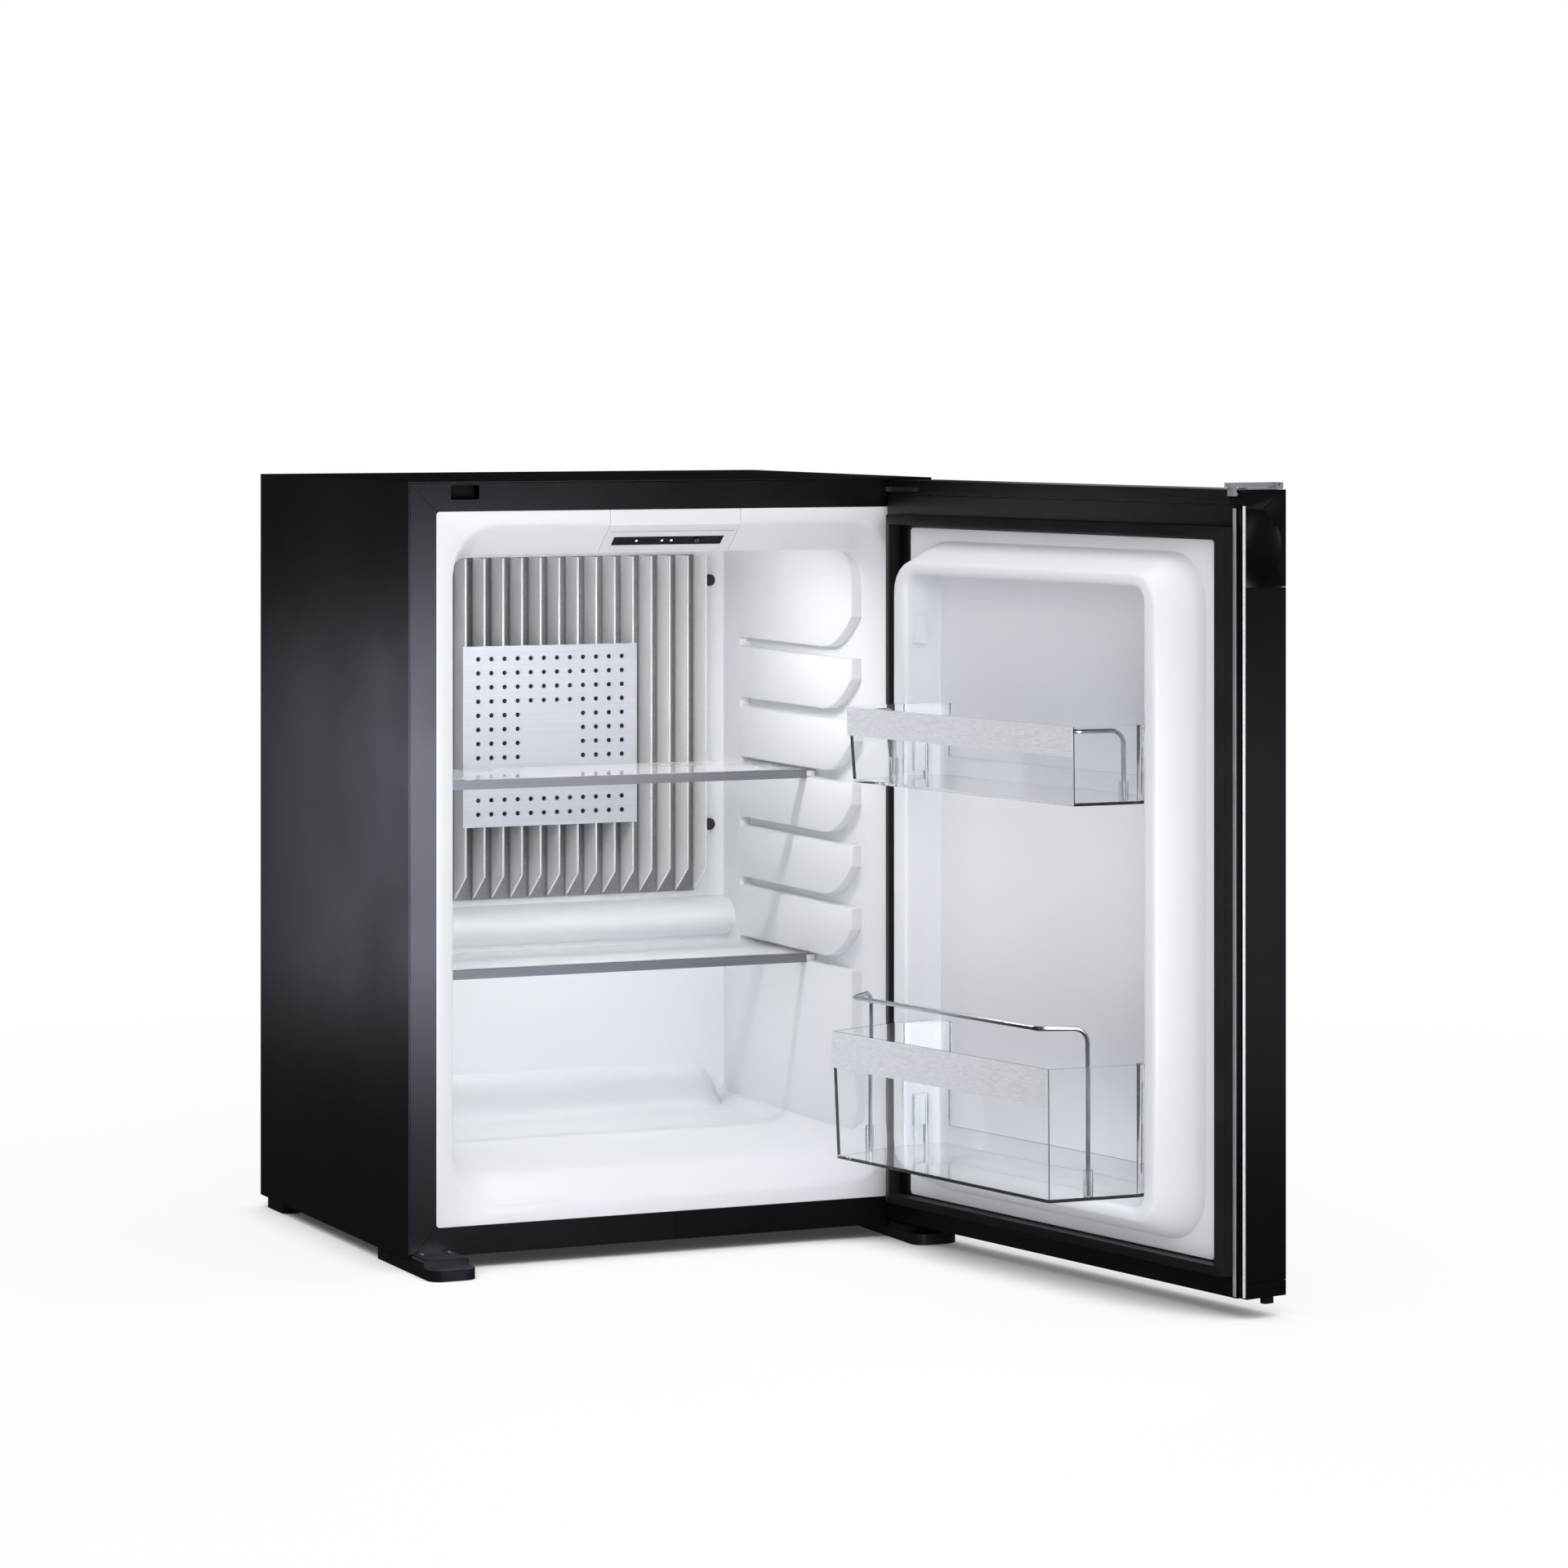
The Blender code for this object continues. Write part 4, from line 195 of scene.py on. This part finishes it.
def painted_shade_band(name, stops, axis, rough, grain, depth, **values):
    """A surface whose colour goes through stops, each a place along one world axis and a colour; it paints
    shade and light along that axis.
    """
    start, end = stops[0][0], stops[-1][0]
    m = Nodes(name)
    m.set(**values)
    parts = m.add("ShaderNodeSeparateXYZ")
    m.join(m.place, parts.inputs[0])
    wave = m.add("ShaderNodeMath")
    wave.operation = "MULTIPLY_ADD"
    m.join(m.noise(grain, 4.0), wave.inputs[0])
    wave.inputs[1].default_value = (end - start) * 0.03
    m.join(parts.outputs[axis], wave.inputs[2])
    place = m.span(wave.outputs[0], 0.0, 1.0, start, end)
    ramp = m.add("ShaderNodeValToRGB")
    m.join(place, ramp.inputs["Fac"])
    while len(ramp.color_ramp.elements) < len(stops):
        ramp.color_ramp.elements.new(0.5)
    for element, (where, colour) in zip(ramp.color_ramp.elements, stops):
        element.position = (where - start) / (end - start)
        element.color = (*colour, 1)
    m.join(ramp.outputs["Color"], m.shader.inputs["Base Color"])
    m.join(m.span(m.noise(9.0, 3.0), rough[0], rough[1]), m.shader.inputs["Roughness"])
    m.bump(m.noise(grain, 4.0), 0.4, depth)
    return m.material


CASE = paint("case", (0.0020, 0.0021, 0.0027), (0.0040, 0.0042, 0.0050), (0.30, 0.40), 900.0, 0.00014)
FRAME = paint("frame", (0.0016, 0.0017, 0.0022), (0.0028, 0.0029, 0.0036), (0.28, 0.34), 1500.0, 0.00005)
SKIN = paint("skin", (0.0014, 0.0015, 0.0020), (0.0025, 0.0026, 0.0033), (0.28, 0.34), 1100.0, 0.00006)
OUTER = paint("outer", (0.0060, 0.0062, 0.0070), (0.0100, 0.0103, 0.0113), (0.30, 0.40), 900.0, 0.00014)
LINER = paint("liner", (0.80, 0.815, 0.84), (0.83, 0.845, 0.87), (0.30, 0.38), 160.0, 0.00008, patch=4.0)
DYKE = paint("dyke", (0.79, 0.805, 0.83), (0.82, 0.835, 0.86), (0.30, 0.38), 150.0, 0.00008, patch=4.0)
HOUSING = paint("housing", (0.78, 0.79, 0.81), (0.81, 0.82, 0.84), (0.38, 0.46), 1300.0, 0.00003)
FOAM = paint("foam", (0.55, 0.46, 0.28), (0.68, 0.58, 0.36), (0.75, 0.9), 420.0, 0.0006, patch=40.0)
GLOSS_BLACK = paint("gloss_black", (0.002, 0.002, 0.003), (0.004, 0.004, 0.005), (0.08, 0.14), 90.0, 0.00002,
                    Specular_IOR_Level=0.12)
RUBBER = paint("rubber", (0.006, 0.006, 0.008), (0.010, 0.010, 0.013), (0.44, 0.56), 1600.0, 0.00006,
               patch=25.0)
DEEP = paint("deep", (0.001, 0.001, 0.0015), (0.002, 0.002, 0.0026), (0.75, 0.9), 1600.0, 0.00006, patch=25.0)
MOULDED = paint("moulded", (0.005, 0.005, 0.007), (0.009, 0.009, 0.012), (0.30, 0.42), 1200.0, 0.00010,
                patch=20.0)
LATCH = paint("latch", (0.20, 0.205, 0.23), (0.24, 0.245, 0.27), (0.30, 0.40), 1400.0, 0.00005, patch=20.0)
ENAMEL = paint("enamel", (0.011, 0.011, 0.012), (0.020, 0.020, 0.021), (0.30, 0.48), 380.0, 0.00018, patch=26.0)
# Along the fins' depth: grey front edges, painted darker to dull their highlight; pale sides in the fins' own
# colour; and a dark base, which is painted shade between the fins
FIN_SHADE_STOPS = ((0.2572, (0.60, 0.605, 0.62)), (0.2582, (0.66, 0.665, 0.68)), (0.2596, (0.97, 0.975, 0.99)),
             (0.2790, (0.95, 0.955, 0.97)), (0.2840, (0.10, 0.10, 0.115)))
FINS = painted_shade_band("fins", FIN_SHADE_STOPS, 1, (0.42, 0.52), 500.0, 0.00002)
# Across the hinge plate: dark at low x and pale beyond. This is painted shade and light, since only the pale
# part faces the light
HINGE_SHADE_STOPS = ((0.139, (0.10, 0.10, 0.115)), (0.1445, (0.50, 0.51, 0.55)))
HINGE = painted_shade_band("hinge", HINGE_SHADE_STOPS, 0, (0.24, 0.34), 900.0, 0.00003, Metallic=0.6)
COVER = metal("cover", (0.50, 0.51, 0.54), (0.56, 0.57, 0.60), (0.40, 0.48), (10.0, 40.0, 700.0), 0.00001, 0.35)
BRUSHED = metal("brushed", (0.74, 0.76, 0.80), (0.95, 0.97, 1.0), (0.36, 0.46), (900.0, 9.0, 1100.0), 0.000006,
                0.35)
TRIM = metal("trim", (0.17, 0.172, 0.19), (0.23, 0.232, 0.25), (0.36, 0.46), (5.0, 900.0, 1300.0), 0.00001, 0.5)
STEEL = metal("steel", (0.42, 0.42, 0.43), (0.60, 0.60, 0.61), (0.26, 0.42), (300.0, 300.0, 90.0), 0.00003, 0.9)
CHROME = metal("chrome", (0.50, 0.51, 0.54), (0.58, 0.59, 0.62), (0.18, 0.26), (60.0, 60.0, 60.0), 0.00001, 1.0)
GLASS = clear("shelf_glass", (0.97, 0.985, 0.98), (0.04, 0.09), 1.45, 30.0, 0.00001, 0.3)
PLASTIC = clear("bin_plastic", (0.975, 0.98, 0.985), (0.0, 0.04), 1.3, 55.0, 0.00006, 0.985)
LAMP = glowing("lamp", (0.6, 0.6, 0.61), 0.25, 900.0)
# The indicator lights glow as lamps. The light sensor shares this glow though it is no lamp, so on the sensor
# it is a painted glow
INDICATOR_AND_SENSOR_GLOW = glowing("indicator_and_sensor_glow", (0.95, 0.97, 1.0), 0.9, 2000.0)

LOOKS = {
    "case_shell": CASE, "bottom_panel": CASE, "back_panel": OUTER, "insulation_foam": FOAM, "door_foam": FOAM,
    "frame_top": FRAME, "frame_left": FRAME, "frame_right": FRAME, "frame_bottom_left": FRAME,
    "frame_bottom_right": FRAME, "inner_liner": LINER, "recess_plate": DEEP, "light_housing": HOUSING,
    # light_sensor gets a painted glow
    "control_panel": GLOSS_BLACK, "lamp_diffuser": LAMP, "light_sensor": INDICATOR_AND_SENSOR_GLOW, "indicator_light_1": INDICATOR_AND_SENSOR_GLOW,
    "indicator_light_2": INDICATOR_AND_SENSOR_GLOW, "power_button": GLOSS_BLACK, "evaporator_fins": FINS, "evaporator_cover": COVER,
    "wall_plug_1": RUBBER, "wall_plug_2": RUBBER, "shelf_upper_glass": GLASS, "shelf_lower_glass": GLASS,
    "shelf_upper_trim": TRIM, "shelf_lower_trim": TRIM, "top_hinge_plate": HINGE, "top_hinge_pin": STEEL,
    "bottom_hinge_pin": STEEL, "bracket_left": MOULDED, "bracket_right": MOULDED, "rear_foot_left": MOULDED,
    "rear_foot_right": MOULDED, "door_outer_panel": OUTER, "door_free_bar": FRAME, "door_hinge_bar": FRAME,
    "door_top_cap": FRAME, "door_bottom_cap": FRAME, "grip_insert": SKIN, "door_inner_frame": FRAME,
    "edge_trim": BRUSHED, "bottom_stub": MOULDED, "door_liner": DYKE, "door_gasket": RUBBER,
    "latch_base": LATCH, "latch_lever": LATCH, "latch_pin": STEEL, "bin_upper": PLASTIC, "bin_lower": PLASTIC,
    "bin_upper_strip": BRUSHED, "bin_lower_strip": BRUSHED, "bin_upper_rail": CHROME, "bin_lower_rail": CHROME,
    "absorber_vessel": ENAMEL, "absorber_coil": ENAMEL, "boiler_can": STEEL, "condenser_tube": ENAMEL,
    "condenser_plates": ENAMEL, "electrical_box": MOULDED,
}
for node_name, look in LOOKS.items():
    materials = nodes[node_name].data.materials
    materials.clear()
    materials.append(look)


def smoothing():
    """A node group that joins a mesh's split corners and shades its shallow edges smooth."""
    group = bpy.data.node_groups.new("smooth_by_angle", "GeometryNodeTree")
    group.interface.new_socket("Geometry", in_out="INPUT", socket_type="NodeSocketGeometry")
    group.interface.new_socket("Geometry", in_out="OUTPUT", socket_type="NodeSocketGeometry")
    add = group.nodes.new
    start = add("NodeGroupInput")
    clean = add("GeometryNodeRemoveAttribute")
    clean.inputs["Name"].default_value = "custom_normal"
    merge = add("GeometryNodeMergeByDistance")
    merge.inputs["Distance"].default_value = 0.000001
    faces = add("GeometryNodeSetShadeSmooth")
    faces.domain = "FACE"
    angle = add("GeometryNodeInputMeshEdgeAngle")
    shallow = add("FunctionNodeCompare")
    shallow.operation = "LESS_THAN"
    shallow.inputs["B"].default_value = SMOOTH_ANGLE
    edges = add("GeometryNodeSetShadeSmooth")
    edges.domain = "EDGE"
    end = add("NodeGroupOutput")
    join = group.links.new
    join(start.outputs[0], clean.inputs["Geometry"])
    join(clean.outputs[0], merge.inputs["Geometry"])
    join(merge.outputs[0], faces.inputs["Geometry"])
    join(faces.outputs[0], edges.inputs["Geometry"])
    join(angle.outputs["Unsigned Angle"], shallow.inputs["A"])
    join(shallow.outputs[0], edges.inputs["Shade Smooth"])
    join(edges.outputs[0], end.inputs[0])
    return group


SMOOTH_ANGLE = math.radians(34)
smooth_group = smoothing()
SMOOTHED = (
    "inner_liner", "door_liner", "door_gasket", "door_inner_frame", "grip_insert", "bin_upper", "bin_lower",
    "bin_upper_rail", "bin_lower_rail", "absorber_vessel", "absorber_coil", "boiler_can", "condenser_tube",
    "top_hinge_pin", "bottom_hinge_pin", "latch_lever", "bracket_left", "bracket_right", "edge_trim",
    "shelf_upper_trim", "shelf_lower_trim", "power_button", "light_sensor", "indicator_light_1",
    "indicator_light_2", "wall_plug_1", "wall_plug_2", "latch_pin", "door_hinge_bar", "rear_foot_left",
    "rear_foot_right", "electrical_box", "light_housing",
)
for node_name in SMOOTHED:
    modifier = nodes[node_name].modifiers.new("smooth", "NODES")
    modifier.node_group = smooth_group


# Detail pieces
def piece(name, form, look, body, smooth=True):
    """A new mesh object from a bmesh, in world metres, that rides on a body."""
    bmesh.ops.recalc_face_normals(form, faces=form.faces)
    mesh = bpy.data.meshes.new(name)
    form.to_mesh(mesh)
    form.free()
    mesh.materials.append(look)
    for face in mesh.polygons:
        face.use_smooth = smooth
    made = bpy.data.objects.new(name, mesh)
    bpy.context.scene.collection.objects.link(made)
    if smooth:
        modifier = made.modifiers.new("smooth", "NODES")
        modifier.node_group = smooth_group
    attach(made, body)
    return made


def frame_on(normal):
    """Two directions across a normal."""
    normal = normal.normalized()
    across = normal.orthogonal().normalized()
    return normal, across, normal.cross(across)


def turned(form, centre, normal, profile, sides=20, dip=None):
    """A solid of revolution: profile holds radius and height pairs in millimetres, from rim to middle."""
    normal, across, other = frame_on(normal)
    rings = []
    for index, (radius, height) in enumerate(profile):
        ring = []
        for step in range(sides):
            turn = 2 * math.pi * step / sides
            reach = radius
            if dip and index in dip:
                reach = radius * (1.0 if step % (sides // 4) == 0 else dip[index])
            offset = across * math.cos(turn) * reach + other * math.sin(turn) * reach + normal * height
            ring.append(form.verts.new(centre + offset * MM))
        rings.append(ring)
    for low, high in zip(rings, rings[1:]):
        for step in range(sides):
            after = (step + 1) % sides
            form.faces.new((low[step], low[after], high[after], high[step]))
    form.faces.new(rings[0][::-1])
    form.faces.new(rings[-1])


def screws(name, places, normal, radius, rise, look, body):
    """Pan-head screws with a cross in the head, their undersides just above the surface."""
    form = bmesh.new()
    profile = (
        (radius * 0.98, 0.04), (radius, rise * 0.23), (radius * 0.94, rise * 0.62),
        (radius * 0.78, rise * 0.88), (radius * 0.52, rise), (radius * 0.46, rise * 0.38),
        (radius * 0.16, rise * 0.31),
    )
    for place in places:
        turned(form, place, Vector(normal), profile, 16, {4: 0.42, 5: 0.34})
    return piece(name, form, look, body)


def tube(form, points, radius, sides=8, closed=False):
    """A round tube along points, radius in millimetres."""
    rings = []
    count = len(points)
    for index, point in enumerate(points):
        before = points[index - 1] if index or closed else point
        after = points[(index + 1) % count] if index < count - 1 or closed else point
        along = (after - before).normalized()
        if not rings:
            across = along.orthogonal().normalized()
        across = (across - along * across.dot(along)).normalized()
        other = along.cross(across)
        ring = []
        for step in range(sides):
            turn = 2 * math.pi * step / sides
            offset = across * math.cos(turn) + other * math.sin(turn)
            ring.append(form.verts.new(point + offset * radius * MM))
        rings.append(ring)
    pairs = list(zip(rings, rings[1:]))
    if closed:
        pairs.append((rings[-1], rings[0]))
    for low, high in pairs:
        for step in range(sides):
            after = (step + 1) % sides
            form.faces.new((low[step], low[after], high[after], high[step]))
    if not closed:
        form.faces.new(rings[0][::-1])
        form.faces.new(rings[-1])


# Screws that hold the brackets and the back panel. The brackets' heads are flat, as the door passes over them.
UP = (0, 0, 1)
BACKWARD = (0, 1, 0)
BRACKET_SCREW = (2.2, 0.75)
BACK_SCREW = (3.0, 1.56)
SCREW_INSETS = (7.8, 27.8)
left_places = [at(inset, -4.6, BRACKET_TOP) for inset in SCREW_INSETS]
right_places = [at(CASE_WIDTH - inset, -4.6, BRACKET_TOP) for inset in SCREW_INSETS]
back_places = []
for x in (9.0, 110.0, 216.0, 318.0, 393.0):
    back_places += [at(x, BACK_FACE, 528.0), at(x, BACK_FACE, 7.5)]
for z in (140.0, 270.0, 400.0):
    back_places += [at(7.0, BACK_FACE, z), at(395.0, BACK_FACE, z)]
screws("bracket_screws_left", left_places, UP, *BRACKET_SCREW, STEEL, "cabinet")
screws("bracket_screws_right", right_places, UP, *BRACKET_SCREW, STEEL, "cabinet")
screws("back_screws", back_places, BACKWARD, *BACK_SCREW, STEEL, "cabinet")

# Ring and stroke on the power button's face
button_low, button_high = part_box("power_button")
button_middle = (Vector(button_low) + Vector(button_high)) / 2
face_normal = Vector((0.0, -0.637, -0.771))
FACE_RISE = 1.72
RING_RADIUS = 1.45
LINE_RADIUS = 0.13
LINE_SIDES = 6
face_middle = button_middle + face_normal * FACE_RISE * MM
up = Vector((0.0, -0.771, 0.637))
side = Vector((1.0, 0.0, 0.0))
mark = bmesh.new()
loop = []
for step in range(25):
    turn = math.radians(35 + 290 * step / 24)
    loop.append(face_middle + (up * math.cos(turn) + side * math.sin(turn)) * RING_RADIUS * MM)
stroke = [face_middle + up * rise * MM for rise in (0.4, 1.2, 1.9)]
tube(mark, loop, LINE_RADIUS, LINE_SIDES)
tube(mark, stroke, LINE_RADIUS, LINE_SIDES)
MARK = paint("mark", (0.34, 0.35, 0.38), (0.42, 0.43, 0.46), (0.4, 0.5), 2400.0, 0.00001, patch=300.0)
piece("button_mark", mark, MARK, "button")

# Thin bead along the free side of the door's frame, coloured pale grey as a painted highlight on that edge
# Pale grey on the black frame: a painted highlight
HIGHLIGHT_BEAD = paint("highlight_bead", (0.27, 0.275, 0.30), (0.33, 0.335, 0.36), (0.34, 0.42), 1800.0, 0.00002, patch=60.0)
highlight_bead = bmesh.new()
bead_profile = ((7.95, 0.0), (8.25, 0.28), (9.7, 0.42), (11.15, 0.28), (11.45, 0.0))
BEAD_GAP = 0.03
BEAD_HEIGHTS = (1.0, 2.2, 140.0, 280.0, 420.0, 518.3, 519.5)
ends = []
for height in BEAD_HEIGHTS:
    squeeze = 0.3 if height in (BEAD_HEIGHTS[0], BEAD_HEIGHTS[-1]) else 1.0
    ring = []
    for x, proud in bead_profile:
        y = DOOR_INNER_FACE + BEAD_GAP + proud * squeeze
        ring.append(highlight_bead.verts.new(at_door(x, y, DOOR_LOW + height)))
    ends.append(ring)
for low, high in zip(ends, ends[1:]):
    for step in range(len(low)):
        after = (step + 1) % len(low)
        highlight_bead.faces.new((low[step], low[after], high[after], high[step]))
highlight_bead.faces.new(ends[0][::-1])
highlight_bead.faces.new(ends[-1])
piece("frame_highlight_bead", highlight_bead, HIGHLIGHT_BEAD, "door")

# Dark sheet behind the evaporator's cover, which its holes show: painted shade behind the holes
hole_shade = bmesh.new()
cover_low, cover_high = (Vector(corner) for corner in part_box("evaporator_cover"))
cover_middle = (cover_low + cover_high) / 2
cover_half = (cover_high - cover_low) / 2
HOLE_SHADE_INSET = 5 * MM
HOLE_SHADE_CORNER = 4 * MM
hole_shade_rings = []
for depth in (0.07, 0.23):
    y = cover_high.y + depth * MM
    ring = []
    for corner_x, corner_z, start in ((1, 1, 0), (-1, 1, 90), (-1, -1, 180), (1, -1, 270)):
        for step in range(5):
            turn = math.radians(start + 22.5 * step)
            x = cover_middle.x + corner_x * (cover_half.x - HOLE_SHADE_INSET) + math.cos(turn) * HOLE_SHADE_CORNER
            z = cover_middle.z + corner_z * (cover_half.z - HOLE_SHADE_INSET) + math.sin(turn) * HOLE_SHADE_CORNER
            ring.append(hole_shade.verts.new((x, y, z)))
    hole_shade_rings.append(ring)
for step in range(20):
    after = (step + 1) % 20
    hole_shade.faces.new((hole_shade_rings[0][step], hole_shade_rings[0][after], hole_shade_rings[1][after], hole_shade_rings[1][step]))
hole_shade.faces.new(hole_shade_rings[0][::-1])
hole_shade.faces.new(hole_shade_rings[1])
# Near-black: painted shade seen through the cover's holes
HOLE_SHADE = paint("hole_shade", (0.004, 0.004, 0.005), (0.008, 0.008, 0.010), (0.8, 0.95), 2200.0, 0.0001, patch=60.0)
piece("cover_hole_shade", hole_shade, HOLE_SHADE, "cabinet", False)

# Floor, lights and surroundings. The camera sees the floor mostly as white, with a painted contact shadow under
# the object, made from an ambient occlusion node, and part of its lit surface. Glossy rays see a dim floor, so
# that black pieces stay black.
FLOOR_HALF = 12.0
FLOOR_FADE = (0.75, 1.5)
FLOOR_WHITE = 0.84
CONTACT_REACH = 0.07
FLOOR_GLOSS_DIM = 0.03
FLOOR_GLOSS_BRIGHT = 0.30
floor_mesh = bpy.data.meshes.new("floor")
floor_form = bmesh.new()
bmesh.ops.create_grid(floor_form, x_segments=2, y_segments=2, size=FLOOR_HALF)
floor_form.to_mesh(floor_mesh)
floor = bpy.data.objects.new("floor", floor_mesh)
bpy.context.scene.collection.objects.link(floor)
f = Nodes("floor_white")
f.set(Base_Color=(0.94, 0.94, 0.94, 1), Roughness=0.65)
f.bump(f.noise(60.0), 0.05, 0.0004)
bright = f.add("ShaderNodeEmission")
distance = f.add("ShaderNodeVectorMath")
distance.operation = "LENGTH"
f.join(f.place, distance.inputs[0])
blend = f.add("ShaderNodeMixShader")
f.join(f.span(distance.outputs["Value"], 0.0, 1.0, *FLOOR_FADE), blend.inputs[0])
f.join(f.shader.outputs[0], blend.inputs[1])
f.join(bright.outputs[0], blend.inputs[2])

# Glossy rays see a brighter floor on the right and in front on the left, and a dim one elsewhere
dim = f.add("ShaderNodeEmission")
apart = f.add("ShaderNodeSeparateXYZ")
f.join(f.place, apart.inputs[0])
ahead = f.add("ShaderNodeMath")
ahead.operation = "ADD"
ahead.inputs[1].default_value = 0.4
f.join(apart.outputs["Y"], ahead.inputs[0])
quarter = f.add("ShaderNodeMath")
quarter.operation = "MULTIPLY"
f.join(apart.outputs["X"], quarter.inputs[0])
f.join(ahead.outputs[0], quarter.inputs[1])
f.join(f.span(quarter.outputs[0], FLOOR_GLOSS_DIM, FLOOR_GLOSS_BRIGHT, 0.08, 0.6), dim.inputs["Strength"])

rays = f.add("ShaderNodeLightPath")
shown = f.add("ShaderNodeMixShader")
paler = f.add("ShaderNodeMixShader")
# Painted contact shadow: an emission that ambient occlusion darkens near the object, seen by the camera
contact_occlusion = f.add("ShaderNodeAmbientOcclusion")
contact_occlusion.inputs["Distance"].default_value = CONTACT_REACH
contact_occlusion.samples = 8
painted_contact_shadow = f.add("ShaderNodeEmission")
f.join(f.ramp(contact_occlusion.outputs["AO"], (0.05, 0.05, 0.054), (1.0, 1.0, 1.0), 0.14, 0.68), painted_contact_shadow.inputs["Color"])
f.join(f.span(rays.outputs["Is Camera Ray"], 0.0, FLOOR_WHITE, 0.0, 1.0), paler.inputs[0])
f.join(blend.outputs[0], paler.inputs[1])
f.join(painted_contact_shadow.outputs[0], paler.inputs[2])
f.join(rays.outputs["Is Glossy Ray"], shown.inputs[0])
f.join(paler.outputs[0], shown.inputs[1])
f.join(dim.outputs[0], shown.inputs[2])
f.join(shown.outputs[0], f.output.inputs["Surface"])
floor_mesh.materials.append(f.material)

FILL = 0.52
WORLD_GLOSS = 0.015
world = bpy.data.worlds.new("world")
bpy.context.scene.world = world
world.use_nodes = True
sky = world.node_tree
path = sky.nodes.new("ShaderNodeLightPath")
fill = sky.nodes["Background"]
fill.inputs["Color"].default_value = (0.965, 0.98, 1.0, 1)
fill.inputs["Strength"].default_value = FILL
gloss = sky.nodes.new("ShaderNodeBackground")
gloss.inputs["Strength"].default_value = WORLD_GLOSS
white = sky.nodes.new("ShaderNodeBackground")
white.inputs["Color"].default_value = (1, 1, 1, 1)
white.inputs["Strength"].default_value = 1.0
soft = sky.nodes.new("ShaderNodeMixShader")
last = sky.nodes.new("ShaderNodeMixShader")
sky.links.new(path.outputs["Is Glossy Ray"], soft.inputs[0])
sky.links.new(fill.outputs[0], soft.inputs[1])
sky.links.new(gloss.outputs[0], soft.inputs[2])
seen = sky.nodes.new("ShaderNodeMath")
seen.operation = "MAXIMUM"
sky.links.new(path.outputs["Is Camera Ray"], seen.inputs[0])
sky.links.new(path.outputs["Is Transmission Ray"], seen.inputs[1])
sky.links.new(seen.outputs[0], last.inputs[0])
sky.links.new(soft.outputs[0], last.inputs[1])
sky.links.new(white.outputs[0], last.inputs[2])
sky.links.new(last.outputs[0], sky.nodes["World Output"].inputs["Surface"])


def lamp(name, place, aim, size, power, colour=(1, 1, 1)):
    data = bpy.data.lights.new(name, "AREA")
    data.shape = "RECTANGLE"
    data.size, data.size_y = size
    data.energy = power
    data.color = colour
    made = bpy.data.objects.new(name, data)
    bpy.context.scene.collection.objects.link(made)
    made.location = place
    made.rotation_euler = (Vector(aim) - Vector(place)).to_track_quat("-Z", "Y").to_euler()
    made.visible_camera = False
    return made


for name, place, aim, size, power in (
    ("key", (-1.6, -2.2, 1.9), (0.0, 0.0, 0.25), (1.6, 1.6), 13.0),
    ("front", (-0.3, -3.0, 1.2), (0.0, 0.0, 0.3), (1.6, 1.2), 21.0),
    ("top", (0.0, -0.1, 2.4), (0.0, -0.1, 0.0), (2.0, 2.0), 24.0),
    ("rear", (0.3, 2.2, 2.3), (0.0, 0.2, 0.3), (1.6, 1.2), 14.0),
):
    lamp(name, place, aim, size, power).visible_glossy = False
lamp("right", (2.2, -0.4, 1.4), (0.3, -0.1, 0.3), (1.2, 1.6), 8.0)
WARM = (1.0, 0.99, 0.975)
lamp("inside", at(201.0, 27.0, 485.0), at(201.0, 150.0, 290.0), (0.086, 0.008), 0.40, WARM)
low_glow = lamp("low_glow", at(150.0, 150.0, 168.0), at(150.0, 262.0, 66.0), (0.20, 0.02), 0.028, WARM)
low_glow.visible_glossy = False
COOL = (0.80, 0.84, 1.0)
for name, place, aim, size, power in (
    ("sheen_side", (-0.52, 0.72, 0.25), (-0.236, 0.10, 0.29), (0.16, 0.30), 0.21),
    ("sheen_front", (0.02, -0.66, 0.25), (-0.22, 0.02, 0.29), (0.14, 0.34), 2.1),
    ("sheen_door", (0.76, -0.83, 0.22), (0.22, -0.38, 0.27), (0.14, 0.34), 0.13),
    ("sheen_back", (2.1, 2.3, 0.9), (0.0, 0.34, 0.3), (1.4, 1.2), 3.0),
    ("sheen_left", (-2.4, -1.6, 0.9), (-0.24, 0.15, 0.3), (1.2, 1.2), 1.0),
):
    lamp(name, place, aim, size, power, COOL).visible_diffuse = False

bpy.context.scene.view_settings.view_transform = "Standard"
